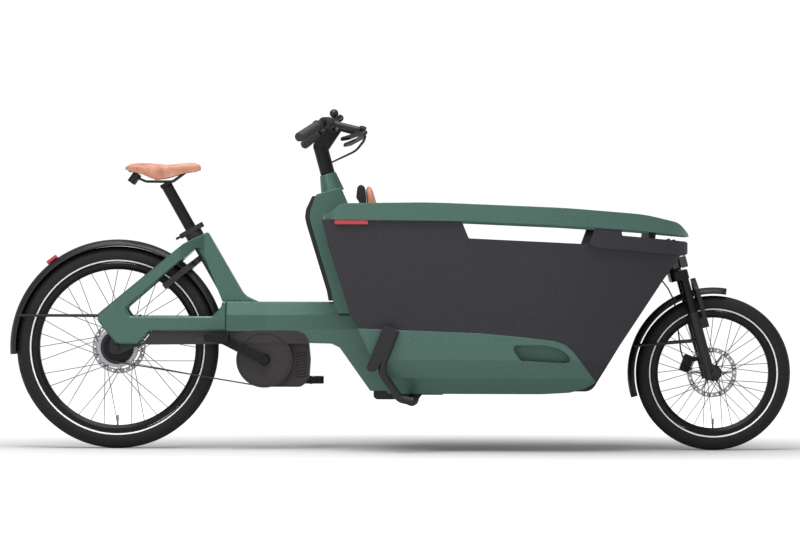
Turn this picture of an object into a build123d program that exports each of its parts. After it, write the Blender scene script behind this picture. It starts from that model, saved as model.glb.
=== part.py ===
from build123d import *
import os
from math import cos, pi, radians, sin

# Front-loading cargo bicycle with a pedal-assist motor.
# Millimetres. +X points forward, +Y to the rider's left, +Z up.
# The origin is on the ground, midway along the length and the width.

os.makedirs("parts", exist_ok=True)

# ---------------------------------------------------------------- driving dimensions
wheelbase = 2005.0
running_fit = 0.06            # radial clearance of a shaft in its bore
side_gap = 0.4                # space between pieces that only lie beside each other

rear_tyre_radius = 340.0
rear_tyre_section = 60.0
front_tyre_radius = 260.0
front_tyre_section = 56.0
tyre_wall = 4.5
rim_depth = 22.0
spoke_radius = 1.1
spoke_groups = 9              # four spokes in each group

rear_fender_radius = 363.0
rear_fender_half_width = 37.0
front_fender_radius = 288.0
front_fender_half_width = 33.0
fender_wall = 2.6
fender_skirt = 22.0

steer_tilt = 15.2             # both steering axes lean back by this angle
fork_rake = 36.6              # front axle ahead of the steering axis
crown_drop = 361.2            # from the crown's top down the axis to the front axle
crown_height = 30.0
crown_clearance = 92.0
leg_spacing = 124.0           # between the centres of the two fork legs
leg_offset = 19.3             # legs ahead of the steering axis
stanchion_radius = 16.0
lower_radius = 18.5
lower_top = 146.0             # from the crown's top down to the lower legs' mouths
steerer_radius = 14.0
head_tube_radius = 24.0
head_tube_length = 92.0

crank_reach = 495.4           # from the rear axle forward to the crank
crank_height = 301.0
crank_length = 170.0
crank_angle = 154.4           # right-hand crank, from straight ahead, turned upwards
crank_inner = 84.5            # inner face of the crank arms, from the middle plane
crank_thickness = 12.5
spindle_radius = 12.0
belt_pitch = 11.0
front_pulley_teeth = 50
rear_pulley_teeth = 26
belt_line = 48.0              # middle of the belt, to the right of the middle plane
belt_width = 11.0
belt_thickness = 4.0
belt_clearance = 0.4
pedal_length = 92.0
pedal_depth = 84.0
pedal_height = 24.0

stay_inner = 67.5             # inner faces of the rear stays
stay_outer = 82.0
dropout_wall = 5.5
beam_half_width = 60.0
beam_top = 495.0
stay_bottom = 396.0
seat_tube_half_width = 34.0
axle_radius = 6.0
front_axle_radius = 7.5
axle_end = 98.0               # free end of the rear axle, from the middle plane

seat_angle = 60.5             # seat tube, from the ground
seat_reach = 252.0            # point on the seat tube's axis under the clamp
seat_height = 726.5
post_radius = 19.0
post_insertion = 185.0
post_drop = 100.0
post_exposed = 166.0
clamp_height = 16.0
clamp_collar = 29.5

column_reach = 704.0          # point on the handlebar's steering axis
column_height = 930.0
column_radius = 17.5
stem_radius = 24.5
stem_top = 88.0
bearing_radius = 24.0
tower_half_width = 68.0
tower_wall = 5.0

bar_half_width = 350.0
bar_radius = 11.1
grip_radius = 16.0
grip_length = 132.0

box_half_width = 320.0        # outside of the box's rim
box_wall = 24.0
rim_width = 44.0
skirt_wall = 5.0
floor_top = 268.0
floor_thickness = 12.0
footwell_length = 330.0
carrier_spacing_x = 140.0
carrier_spacing_y = 300.0
carrier_hole_radius = 3.3
bench_depth = 235.0
bench_top = 452.0
lid_thickness = 12.0
cushion_thickness = 45.0
keel_half_width = 50.0
keel_bottom = 197.0
keel_top = 250.0
rail_half_width = 12.0

stand_reach = 990.0           # pivot of the parking stand, forward of the rear axle
stand_height = 171.0
stand_half_width = 292.0
stand_tube_radius = 13.5

# ---------------------------------------------------------------- places
total_length = rear_fender_radius + wheelbase + front_tyre_radius
rear_x = -total_length / 2 + rear_fender_radius
front_x = rear_x + wheelbase
rear_z = rear_tyre_radius
front_z = front_tyre_radius
crank_x = rear_x + crank_reach
tilt = radians(steer_tilt)
crown_x = front_x - fork_rake * cos(tilt) + crown_drop * sin(tilt) * -1
crown_z = front_z - fork_rake * sin(tilt) + crown_drop * cos(tilt)
column_x = rear_x + column_reach
seat_x = rear_x + seat_reach
seat_lean = 90.0 - seat_angle
leg_y = leg_spacing / 2
front_pulley_radius = front_pulley_teeth * belt_pitch / (2 * pi)
rear_pulley_radius = rear_pulley_teeth * belt_pitch / (2 * pi)
belt_inner = belt_line - belt_width / 2
belt_outer = belt_line + belt_width / 2
rear_rim_outer = rear_tyre_radius - rear_tyre_section + 4.0
front_rim_outer = front_tyre_radius - front_tyre_section + 4.0
floor_bottom = floor_top - floor_thickness
far = 3000.0                  # longer than anything, for cutting and trimming


# ---------------------------------------------------------------- planes and helpers
def side_plane(y=0.0, x=0.0):
    """Upright plane seen from the right; sketches are forward from x and up from the ground."""
    return Plane(origin=(x, y, 0), x_dir=(1, 0, 0), z_dir=(0, -1, 0))


def lean_plane(x, z, along=0.0, angle=steer_tilt):
    """Plane across an axis that leans back by an angle, at a distance along the axis."""
    a = radians(angle)
    origin = (x - along * sin(a), 0, z + along * cos(a))
    return Plane(origin=origin, x_dir=(cos(a), 0, sin(a)), z_dir=(-sin(a), 0, cos(a)))


def lean_side(x, z, y=0.0, angle=steer_tilt):
    """Side plane whose sketch has its up direction along a leaning axis."""
    a = radians(angle)
    return Plane(origin=(x, y, z), x_dir=(cos(a), 0, sin(a)), z_dir=(0, -1, 0))


def radial_plane(x, z, angle):
    """Plane through a wheel's axle; sketches are outward from it and to the left."""
    a = radians(angle)
    return Plane(origin=(x, 0, z), x_dir=(cos(a), 0, sin(a)), z_dir=(-sin(a), 0, cos(a)))


def wheel_plane(x, z, y=0.0):
    """Plane of a wheel, its normal along the axle and to the left."""
    return Plane(origin=(x, y, z), x_dir=(1, 0, 0), z_dir=(0, 1, 0))


def rounded_face(points, radii):
    """Flat face with straight sides and a rounded corner at each point."""
    with BuildSketch() as face:
        with BuildLine():
            FilletPolyline(*points, radius=radii, close=True)
        make_face()
    return face.sketch


def side_slab(points, radii, y_left, y_right, x=0.0):
    """Outline seen from the right, given the thickness between two side planes."""
    with BuildPart() as slab:
        with BuildSketch(side_plane(y_left, x)):
            add(rounded_face(points, radii))
        extrude(amount=y_left - y_right)
    return slab.part


def tube_along(points, radii, radius):
    """Round bar along straight runs joined by arcs."""
    with BuildPart() as tube:
        with BuildLine() as path:
            FilletPolyline(*points, radius=radii)
        with BuildSketch(Plane(origin=path.line @ 0, z_dir=path.line % 0)):
            Circle(radius)
        sweep()
    return tube.part


def rod(start, end, radius):
    """Straight round bar between two points."""
    with BuildPart() as bar:
        with BuildSketch(Plane(origin=start, z_dir=Vector(*end) - Vector(*start))):
            Circle(radius)
        extrude(amount=(Vector(*end) - Vector(*start)).length)
    return bar.part


def both_sides(piece):
    """The piece and its mirror image across the middle plane."""
    with BuildPart() as pair:
        add(piece)
        mirror(about=Plane.XZ)
    return pair.part


def save(piece, label):
    """Label a finished piece and write it."""
    piece.part.label = label
    export_step(piece.part, f"parts/{label}.step")


# ---------------------------------------------------------------- welded rear frame
stay_outline = [
    (-63, 452), (-61, 428), (-38, 400), (1, 352), (72, 352), (112, stay_bottom), (368, stay_bottom),
    (368, beam_top), (355, beam_top), (351, 478), (320, 446), (47, 446), (30, 472), (216, 632),
    (216, 683), (178, 652)]
stay_radii = [10, 14, 0, 8, 8, 14, 0, 0, 6, 10, 8, 10, 10, 0, 0, 30]
beam_outline = [
    (368, stay_bottom), (579, stay_bottom), (613, 384), (636, 357), (721, 355), (748, 342),
    (851, keel_bottom), (931, keel_bottom), (931, floor_bottom - 2), (846, 400), (811, beam_top),
    (368, beam_top)]
beam_radii = [0, 20, 20, 12, 20, 20, 8, 0, 0, 8, 0, 0]
seat_tube_outline = [
    (216, 632), (216, 683), (225, 690), (303, 729), (427, 516), (473, beam_top), (353, beam_top),
    (279, 679), (262, 672)]
seat_tube_radii = [0, 0, 8, 6, 60, 0, 0, 14, 10]
seat_axis = lean_plane(seat_x, seat_height, angle=seat_lean)

with BuildPart() as rear_stays:
    add(side_slab(stay_outline, stay_radii, -stay_inner, -stay_outer, rear_x))
    outer_edges = rear_stays.faces().sort_by(Axis.Y)[0].edges()
    chamfer(outer_edges.filter_by(lambda e: e.length > 60 and e.center().Z > stay_bottom + 2), 4.5)
    mirror(about=Plane.XZ)

beam_section = [
    (beam_half_width - 9, 150), (beam_half_width, 404), (beam_half_width - 4, 450),
    (beam_half_width - 20, beam_top + 1)]


def beam_face(extra):
    """Half of the beam's eight-sided section mirrored to the whole, widened by a distance."""
    half = [(y + extra, z) for y, z in beam_section]
    with BuildSketch() as face:
        Polygon(*half, *[(-y, z) for y, z in reversed(half)], align=None)
    return face.sketch


with BuildPart() as main_beam:
    for place, extra in ((368, stay_outer - beam_half_width), (500, 0.0)):
        with BuildSketch(Plane(origin=(rear_x + place, 0, 0), x_dir=(0, 1, 0), z_dir=(1, 0, 0))):
            add(beam_face(extra))
    loft(ruled=True)
    with BuildSketch(Plane(origin=(rear_x + 500, 0, 0), x_dir=(0, 1, 0), z_dir=(1, 0, 0))):
        add(beam_face(0.0))
    extrude(amount=500)
    with BuildSketch(side_plane(0, rear_x)):
        add(rounded_face(beam_outline, beam_radii))
    extrude(amount=far, both=True, mode=Mode.INTERSECT)
    with BuildSketch(seat_axis):
        Circle(post_radius + running_fit)
    extrude(amount=-(post_insertion + post_drop + 10), mode=Mode.SUBTRACT)


seat_tube_plan = [(216, stay_outer), (292, seat_tube_half_width), (420, seat_tube_half_width),
                  (473, beam_half_width - 20)]
with BuildPart() as seat_tube:
    add(side_slab(seat_tube_outline, seat_tube_radii, stay_outer, -stay_outer, rear_x))
    with BuildSketch(Plane.XY):
        Polygon(*[(rear_x + x, y) for x, y in seat_tube_plan],
                *[(rear_x + x, -y) for x, y in reversed(seat_tube_plan)], align=None)
    extrude(amount=far, mode=Mode.INTERSECT)
    # sleeve of the seatpost, standing out of the tube's back
    with BuildSketch(seat_axis.offset(-post_insertion - post_drop)):
        Circle(post_radius + 3.5)
    extrude(amount=post_insertion + post_drop - 30)
    # room for the fender
    with BuildSketch(side_plane(0, rear_x)):
        with Locations((0, rear_z)):
            Circle(rear_fender_radius + 9)
    extrude(amount=rear_fender_half_width + 9, both=True, mode=Mode.SUBTRACT)
    with BuildSketch(seat_axis):
        Circle(post_radius + running_fit)
    extrude(amount=post_insertion + post_drop + 10, both=True, mode=Mode.SUBTRACT)
    add(main_beam.part, mode=Mode.SUBTRACT)

# ---------------------------------------------------------------- box's flared outside
nose_x = front_x - 88.0
nose_radius = 182.0
nose_flat = 48.0
nose_turn = 30.0              # the sides bend in by this much before the nose
bend_radius = (box_half_width - nose_flat - nose_radius * cos(radians(nose_turn))) / (
    1 - cos(radians(nose_turn)))
bend_x = nose_x - (bend_radius + nose_radius) * sin(radians(nose_turn))
flare = [(810, 7), (392, 46), (307, 52), (246, 74), (188, 114)]   # height, inset from the rim


def plan_face(inset, rear):
    """Plan outline of the box, moved inwards by a distance, from a rear edge to the nose."""
    half = box_half_width - inset
    with BuildSketch() as face:
        with BuildLine():
            side = Line((rear, half), (bend_x, half))
            bend = JernArc(side @ 1, (1, 0), bend_radius - inset, -nose_turn)
            nose = JernArc(bend @ 1, bend % 1, nose_radius - inset, nose_turn - 90)
            Line(nose @ 1, ((nose @ 1).X, 0))
            Line((rear, half), (rear, 0))
            mirror(about=Plane.XZ)
        make_face()
    return face.sketch


def hull_solid(extra, rear):
    """The box's flared outside, moved inwards by a distance."""
    with BuildPart() as hull:
        for height, inset in flare:
            with BuildSketch(Plane.XY.offset(height)):
                add(plan_face(inset + extra, rear))
        loft(ruled=True)
    return hull.part


box_rear = rear_x + 660
outer_hull = hull_solid(0, box_rear)
wall_hull = hull_solid(box_wall, box_rear - 60)
skirt_hull = hull_solid(skirt_wall, box_rear - 60)
liner_hull = hull_solid(box_wall + side_gap, box_rear - 60)

# ---------------------------------------------------------------- frame under the box
riser_foot = front_x - 452
head_axis = lean_plane(crown_x, crown_z)
keel_outline = [
    (rear_x + 931, keel_bottom), (riser_foot + 40, keel_bottom), (front_x - 188, 560),
    (crown_x - 18, crown_z + 20), (crown_x - 38, crown_z + 82), (crown_x - 60, crown_z + 78),
    (front_x - 226, 568), (riser_foot - 4, keel_top), (rear_x + 931, keel_top)]
keel_radii = [0, 40, 30, 0, 0, 6, 30, 40, 0]
cross_member_places = [rear_x + 1010, front_x - 800 + 55, front_x - 490]
with BuildPart() as floor_frame:
    with BuildSketch(side_plane()):
        add(rounded_face(keel_outline, keel_radii))
    extrude(amount=keel_half_width, both=True)
    with BuildSketch(Plane.YZ.offset(rear_x)):
        Polygon((keel_half_width, 0), (keel_half_width, 300), (head_tube_radius - 4, 620),
                (head_tube_radius - 4, 900), (-head_tube_radius + 4, 900),
                (-head_tube_radius + 4, 620), (-keel_half_width, 300), (-keel_half_width, 0),
                align=None)
    extrude(amount=far, mode=Mode.INTERSECT)
    with BuildPart(mode=Mode.PRIVATE) as members:
        with BuildSketch(Plane.XY.offset(floor_bottom)):
            for place in cross_member_places:
                with Locations((place, 0)):
                    Rectangle(34, 2 * box_half_width)
        extrude(amount=-20)
        with BuildSketch(Plane.XY.offset(floor_bottom)):
            for side in (-1, 1):
                with Locations(((cross_member_places[0] + cross_member_places[2]) / 2,
                                side * (box_half_width - 110))):
                    Rectangle(cross_member_places[2] - cross_member_places[0],
                              2 * rail_half_width)
        extrude(amount=-24)
        add(skirt_hull, mode=Mode.INTERSECT)
    add(members.part)
    # room for the fork's crown to turn
    with BuildSketch(head_axis.offset(-200)):
        Circle(crown_clearance)
    extrude(amount=202, mode=Mode.SUBTRACT)
    # head tube
    with BuildSketch(head_axis.offset(2)):
        Circle(head_tube_radius)
    extrude(amount=head_tube_length)
    with BuildSketch(head_axis.offset(2)):
        Circle(steerer_radius + 7)
    extrude(amount=head_tube_length, mode=Mode.SUBTRACT)

# two bearings for each steering axis, seated in the head tube and in the tower
with BuildPart() as steering_bearings:
    for along in (2, head_tube_length + 2 - 8):
        with BuildSketch(head_axis.offset(along)):
            Circle(steerer_radius + 7)
            Circle(steerer_radius + running_fit, mode=Mode.SUBTRACT)
        extrude(amount=8)
    for along in (-22, -292):
        with BuildSketch(lean_plane(column_x, column_height, along)):
            Circle(bearing_radius)
            Circle(column_radius + running_fit, mode=Mode.SUBTRACT)
        extrude(amount=10)

# ---------------------------------------------------------------- tower of the handlebar
column_axis = lean_plane(column_x, column_height)
tower_low = 456.0
tower_outline = [
    (667, 855.6), (649, 805), (646, 778), (652, 752), (719, 532), (725, 498), (741, tower_low),
    (839, tower_low), (795, 768), (775, 822), (751, 878.4)]
tower_radii = [14, 20, 20, 20, 20, 12, 6, 0, 40, 30, 3]
inner_outline = [
    (673, 850), (655, 804), (652, 778), (658, 753), (725, 533), (731, 499), (747, tower_low - 9),
    (833, tower_low - 9), (789, 768), (769, 821), (748, 871)]
with BuildPart() as tower_shell:
    add(side_slab(tower_outline, tower_radii, tower_half_width, -tower_half_width, rear_x))
    add(side_slab(inner_outline, 6, tower_half_width - tower_wall, tower_wall - tower_half_width,
                  rear_x), mode=Mode.SUBTRACT)
    # collar, bearing bridge and foot
    with BuildSketch(column_axis.offset(-68)) as collar_foot:
        Circle(40)
    with BuildSketch(column_axis.offset(-5)) as collar_top:
        Circle(28)
    loft()
    with BuildPart(mode=Mode.PRIVATE) as bridge:
        add(side_slab(inner_outline, 6, tower_half_width - tower_wall,
                      tower_wall - tower_half_width, rear_x))
        with BuildSketch(column_axis.offset(-296)):
            Rectangle(400, 400)
        extrude(amount=16, mode=Mode.INTERSECT)
    add(bridge.part)
    with BuildSketch(Plane.XY.offset(beam_top)):
        with Locations((rear_x + 770, 0)):
            Rectangle(80, 2 * (tower_half_width - tower_wall))
    extrude(amount=6)
    with BuildSketch(column_axis.offset(-304)):
        Circle(bearing_radius)
    extrude(amount=30, mode=Mode.SUBTRACT)
    with BuildSketch(column_axis.offset(-80)):
        Circle(bearing_radius)
    extrude(amount=100, mode=Mode.SUBTRACT)
    add(main_beam.part, mode=Mode.SUBTRACT)

strip_outline = [
    (654, 850), (633, 805), (630, 778), (636, 752), (704, 532), (710, 499), (740, 499), (740, 850)]
with BuildPart() as tower_rear_cover:
    add(side_slab(strip_outline, [3, 24, 24, 24, 20, 3, 0, 0], tower_half_width - 16,
                  16 - tower_half_width, rear_x))
    add(side_slab(tower_outline, tower_radii, far, -far, rear_x), mode=Mode.SUBTRACT)

# ---------------------------------------------------------------- motor and belt drive
motor_right = 38.0
motor_left = 60.0
with BuildPart() as motor_unit:
    add(side_slab([(-28, 209), (128, 209), (150, 240), (154, 300), (148, 359), (146, 372),
                   (110, stay_bottom), (-88, stay_bottom), (-92, 340)],
                  [30, 30, 30, 20, 6, 20, 8, 8, 20], motor_left, -motor_right, crank_x))
    with BuildSketch(side_plane(motor_left, crank_x)):
        with Locations((0, crank_height)):
            Circle(91)
    extrude(amount=motor_left + motor_right)
    add(main_beam.part, mode=Mode.SUBTRACT)
    # cooling fins at the front of both sides
    with BuildSketch(side_plane(0, crank_x)):
        for step in range(9):
            with Locations((124, 244 + 10 * step)):
                Rectangle(36, 3.4, rotation=8)
    extrude(amount=far, both=True, mode=Mode.SUBTRACT)
    with BuildPart(mode=Mode.PRIVATE) as core:
        add(side_slab([(90, 236), (146, 236), (148, 334), (90, 334)], 4, motor_left - 6,
                      6 - motor_right, crank_x))
    add(core.part)
    with BuildSketch(side_plane(0, crank_x)):
        with Locations((0, crank_height)):
            Circle(spindle_radius + running_fit)
    extrude(amount=far, both=True, mode=Mode.SUBTRACT)

guard_inner = belt_outer + 3.5
guard_outer = guard_inner + 13.0
guard_outline = [
    (-408, 352), (-376, stay_bottom), (-345, stay_bottom), (108, stay_bottom), (134, 386),
    (152, 355), (60, 355), (-380, 350)]
with BuildPart() as belt_guard:
    add(side_slab(guard_outline, [4, 6, 0, 16, 16, 4, 0, 10], -guard_inner, -guard_outer, crank_x))
    with BuildSketch(side_plane(-guard_inner, crank_x)):
        with Locations((0, crank_height)):
            Circle(94)
    extrude(amount=guard_outer - guard_inner - 2)
    add(main_beam.part, mode=Mode.SUBTRACT)
    add(rear_stays.part, mode=Mode.SUBTRACT)
    # concentric ribs of the round cover
    with BuildSketch(side_plane(-guard_outer + 4.5, crank_x)):
        with Locations((0, crank_height)):
            for ring in (46, 70, 86):
                Circle(ring + 2)
                Circle(ring, mode=Mode.SUBTRACT)
    extrude(amount=far, mode=Mode.SUBTRACT)
    with BuildSketch(side_plane(0, crank_x)):
        with Locations((0, crank_height)):
            Circle(spindle_radius + 8)
    extrude(amount=far, mode=Mode.SUBTRACT)


def pulley(radius, teeth, bore):
    """Toothed belt pulley lying on its side, with a rim, a web and a hub."""
    with BuildPart() as wheel:
        Cylinder(radius, belt_width + 1)
        with BuildSketch(Plane.XY.offset(-belt_width)):
            with PolarLocations(radius, teeth):
                SlotOverall(7, 4.4)
        extrude(amount=2 * belt_width, mode=Mode.SUBTRACT)
        with BuildSketch(Plane.XY.offset(2.5)):
            Circle(radius - 7)
            Circle(bore + 7, mode=Mode.SUBTRACT)
        extrude(amount=belt_width, mode=Mode.SUBTRACT)
        with BuildSketch(Plane.XY.offset(-2.5)):
            Circle(radius - 7)
            Circle(bore + 7, mode=Mode.SUBTRACT)
        extrude(amount=-belt_width, mode=Mode.SUBTRACT)
        Cylinder(bore, 4 * belt_width, mode=Mode.SUBTRACT)
    return wheel.part


with BuildPart() as front_pulley:
    with Locations(wheel_plane(crank_x, crank_height, -belt_line)):
        add(pulley(front_pulley_radius, front_pulley_teeth, spindle_radius))
with BuildPart() as rear_pulley:
    with Locations(wheel_plane(rear_x, rear_z, -belt_line)):
        add(pulley(rear_pulley_radius, rear_pulley_teeth, axle_radius + 4 + running_fit))

belt_plane = side_plane(-belt_inner)
pulley_centres = ((crank_x, crank_height, front_pulley_radius), (rear_x, rear_z, rear_pulley_radius))
with BuildPart() as drive_belt:
    with BuildSketch(belt_plane) as belt_loop:
        for x, z, radius in pulley_centres:
            with Locations((x, z)):
                Circle(radius + belt_clearance + belt_thickness)
        make_hull()
        with BuildSketch(mode=Mode.SUBTRACT):
            for x, z, radius in pulley_centres:
                with Locations((x, z)):
                    Circle(radius + belt_clearance)
            make_hull()
    extrude(amount=belt_width)

with BuildPart() as crank_arms:
    for side, turn in ((-1, crank_angle), (1, crank_angle + 180)):
        tip_x = crank_x + crank_length * cos(radians(turn))
        tip_z = crank_height + crank_length * sin(radians(turn))
        inner = side * crank_inner
        with BuildSketch(side_plane(max(inner, inner + side * crank_thickness))):
            with Locations((crank_x, crank_height)):
                Circle(17)
            with Locations((tip_x, tip_z)):
                Circle(13)
            make_hull()
        extrude(amount=crank_thickness)
        with BuildSketch(side_plane(inner)):
            with Locations((tip_x, tip_z)):
                Circle(7 + running_fit)
        extrude(amount=far, both=True, mode=Mode.SUBTRACT)
        with BuildSketch(side_plane(inner)):
            with Locations((crank_x, crank_height)):
                Circle(spindle_radius)
        extrude(amount=far, both=True, mode=Mode.SUBTRACT)
    with BuildSketch(side_plane(crank_inner + crank_thickness - 2)):
        with Locations((crank_x, crank_height)):
            Circle(spindle_radius)
    extrude(amount=2 * (crank_inner + crank_thickness - 2))


def pedal(side):
    """Platform pedal with its axle in the crank arm's eye."""
    turn = radians(crank_angle if side < 0 else crank_angle + 180)
    x = crank_x + crank_length * cos(turn)
    z = crank_height + crank_length * sin(turn)
    outer = crank_inner + crank_thickness
    with BuildPart() as platform:
        with BuildSketch(Plane.XY.offset(z - pedal_height / 2)):
            with Locations((x, side * (outer + 6 + pedal_length / 2))):
                RectangleRounded(pedal_depth, pedal_length, 8)
                for dx in (-1, 1):
                    with Locations((dx * 23, 0)):
                        RectangleRounded(20, pedal_length - 24, 4, mode=Mode.SUBTRACT)
        extrude(amount=pedal_height)
        with BuildSketch(side_plane(side * (outer + 6 + pedal_length), x)):
            with Locations((0, z)):
                Circle(7)
        extrude(amount=side * (pedal_length + 6 + crank_thickness))
    return platform


pedal_right = pedal(-1)
pedal_left = pedal(1)

# ---------------------------------------------------------------- wheels

def tyre_face(radius, section, rim_outer):
    """Section of a tyre: a round casing open towards the rim."""
    with BuildSketch() as face:
        with Locations((radius - section / 2, 0)):
            Circle(section / 2)
            Circle(section / 2 - tyre_wall, mode=Mode.SUBTRACT)
        with Locations((rim_outer - 50, 0)):
            Rectangle(100, 100, mode=Mode.SUBTRACT)
    return face.sketch


def rim_face(rim_outer, section):
    """Section of a double-walled rim with a channel for the tyre's beads."""
    half = section * 0.28
    with BuildSketch() as face:
        Polygon((rim_outer - rim_depth, -half * 0.55), (rim_outer - rim_depth * 0.5, -half),
                (rim_outer, -half), (rim_outer, half), (rim_outer - rim_depth * 0.5, half),
                (rim_outer - rim_depth, half * 0.55), align=None)
        with Locations((rim_outer - 3, 0)):
            Rectangle(8, 2 * half - 5, mode=Mode.SUBTRACT)
        with Locations((rim_outer - 13, 0)):
            Rectangle(7, 2 * half - 8, mode=Mode.SUBTRACT)
    return face.sketch


def hub_part(shell_radius, flange_radius, flange_y, right_end, left_end, bore, rotor_y,
             rotor_radius):
    """Hub shell with flanges and a brake rotor on the left."""
    boss = bore + 12.5
    with BuildPart() as shell:
        with BuildSketch(radial_plane(0, 0, 0)):
            Polygon((bore, -right_end), (boss, -right_end), (shell_radius, -flange_y),
                    (shell_radius, flange_y), (boss, rotor_y - 4), (boss, left_end),
                    (bore, left_end), align=None)
            for side in (-1, 1):
                with Locations(((shell_radius + flange_radius) / 2 - 2, side * flange_y)):
                    Rectangle(flange_radius - shell_radius + 4, 4)
        revolve(axis=Axis.Y)
        # brake rotor with a slotted braking ring on six arms
        with BuildSketch(side_plane(rotor_y + 1)):
            Circle(rotor_radius)
            Circle(rotor_radius - 16, mode=Mode.SUBTRACT)
            with PolarLocations(rotor_radius - 8, 24):
                Circle(3.2, mode=Mode.SUBTRACT)
            with PolarLocations((rotor_radius + boss) / 2 - 5, 6):
                Rectangle(rotor_radius - boss - 14, 7)
            Circle(boss + 5)
            Circle(boss - 1, mode=Mode.SUBTRACT)
        extrude(amount=2)
    return shell.part


def spoke_group(flange_radius, flange_y, rim_radius, crossing):
    """Four spokes: one leading and one trailing on each side of the hub."""
    step = 360 / spoke_groups / 4
    spokes = []
    for slot, side, lead in ((0, 1, 1), (1, -1, 1), (2, 1, -1), (3, -1, -1)):
        rim_angle = radians(slot * step)
        hub_angle = radians(slot * step + lead * crossing)
        y = side * (flange_y + lead * 3.0)
        start = (flange_radius * cos(hub_angle), y, flange_radius * sin(hub_angle))
        end = (rim_radius * cos(rim_angle), side * (3.0 + lead), rim_radius * sin(rim_angle))
        spokes.append(rod(start, end, spoke_radius))
    return spokes


def place_wheel(piece, x, z):
    """A piece made about the origin, moved to its axle."""
    return Pos(x, 0, z) * piece


wheel_sizes = {
    "front": (front_x, front_z, front_tyre_radius, front_tyre_section, front_rim_outer),
    "rear": (rear_x, rear_z, rear_tyre_radius, rear_tyre_section, rear_rim_outer)}
hub_sizes = {
    "front": (17.0, 27.0, 26.0, 43.0, 43.0, front_axle_radius + running_fit, 39.5, 84.0, 62.0),
    "rear": (62.0, 68.0, 27.0, 34.0, 50.0, axle_radius + running_fit, 46.0, 90.0, 34.0)}
wheels = {}
for end, (x, z, radius, section, rim_outer) in wheel_sizes.items():
    shell, flange, flange_y, right_end, left_end, bore, rotor_y, rotor_radius, crossing = (
        hub_sizes[end])
    with BuildPart() as tyre:
        with BuildSketch(radial_plane(x, z, 0)):
            add(tyre_face(radius, section, rim_outer))
        revolve(axis=Axis((x, 0, z), (0, 1, 0)))
    with BuildPart() as rim:
        with BuildSketch(radial_plane(x, z, 0)):
            add(rim_face(rim_outer, section))
        revolve(axis=Axis((x, 0, z), (0, 1, 0)))
    group = spoke_group(flange - 3, flange_y, rim_outer - rim_depth + 1, crossing)
    with BuildPart() as spokes:
        for turn in range(spoke_groups):
            add([Pos(x, 0, z) * Rot(0, turn * 360 / spoke_groups, 0) * spoke for spoke in group])
    with BuildPart() as hub:
        add(place_wheel(hub_part(shell, flange, flange_y, right_end, left_end, bore, rotor_y,
                                 rotor_radius), x, z))
    wheels[end] = {"tyre": tyre, "rim": rim, "spokes": spokes, "hub": hub}

# ---------------------------------------------------------------- axle and rear fittings
insert_inner = stay_inner - dropout_wall
with BuildPart() as rear_axle:
    with BuildSketch(wheel_plane(rear_x, rear_z, -axle_end)):
        Circle(axle_radius)
    extrude(amount=2 * axle_end)
    for start, length in ((-insert_inner, insert_inner - 35), (51, insert_inner - 51)):
        with BuildSketch(wheel_plane(rear_x, rear_z, start)):
            Circle(axle_radius + 4)
        extrude(amount=length)
    for start in (-stay_inner - 10, stay_inner):
        with BuildSketch(wheel_plane(rear_x, rear_z, start)):
            RegularPolygon(11, 6)
        extrude(amount=10)
    for start in (-stay_inner, insert_inner):
        with BuildSketch(wheel_plane(rear_x, 0, start)):
            with Locations((0, -rear_z)):
                Circle(24)
            with Locations((66, -rear_z - 20)):
                Circle(16)
            with Locations((0, -rear_z - 55)):
                Circle(16)
            make_hull()
        extrude(amount=dropout_wall)

with BuildPart() as rear_caliper:
    with BuildSketch(side_plane(stay_inner)):
        with Locations(Pos(rear_x + 74, rear_z + 76) * Rot(0, 0, 45)):
            RectangleRounded(46, 56, 6)
    extrude(amount=32)
    with BuildSketch(wheel_plane(rear_x, rear_z, 43)):
        Circle(91.5)
    extrude(amount=6, mode=Mode.SUBTRACT)

with BuildPart() as rear_fender:
    outer = [(rear_fender_radius - fender_skirt, rear_fender_half_width),
             (rear_fender_radius - 8, rear_fender_half_width),
             (rear_fender_radius, rear_fender_half_width - 12)]
    inner = [(r - fender_wall, y - 1.2) for r, y in outer]
    inner[0] = (outer[0][0], outer[0][1] - fender_wall)
    inner[1] = (outer[1][0] - 1, outer[1][1] - fender_wall)
    half = outer + [(r, -y) for r, y in reversed(outer)]
    back = inner + [(r, -y) for r, y in reversed(inner)]
    with BuildSketch(radial_plane(rear_x, rear_z, 15)):
        Polygon(*half, *reversed(back), align=None)
    revolve(axis=Axis((rear_x, 0, rear_z), (0, -1, 0)), revolution_arc=169)
    # bracket to the frame and wire stays to the stays' ends
    with BuildSketch(Plane.XY.offset(rear_z + 96)):
        with Locations((rear_x + 359.5, 0)):
            Rectangle(17, 26)
    extrude(amount=20)
    add(both_sides(rod((rear_x - 326, rear_fender_half_width + 3.0, 446),
                       (rear_x - 63.5, stay_inner + 6, 446), 4.5)))

with BuildPart() as red_lamps:
    with BuildSketch(radial_plane(rear_x, rear_z, 127)):
        with Locations((rear_fender_radius + 6, 0)):
            RectangleRounded(12, 40, 4)
    extrude(amount=20, both=True)
    add(both_sides(side_slab([(rear_x + 734, 753), (rear_x + 734, 766), (rear_x + 842, 766),
                              (rear_x + 846, 753)], 3, box_half_width - 2,
                             box_half_width - 10.8)))

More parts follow.
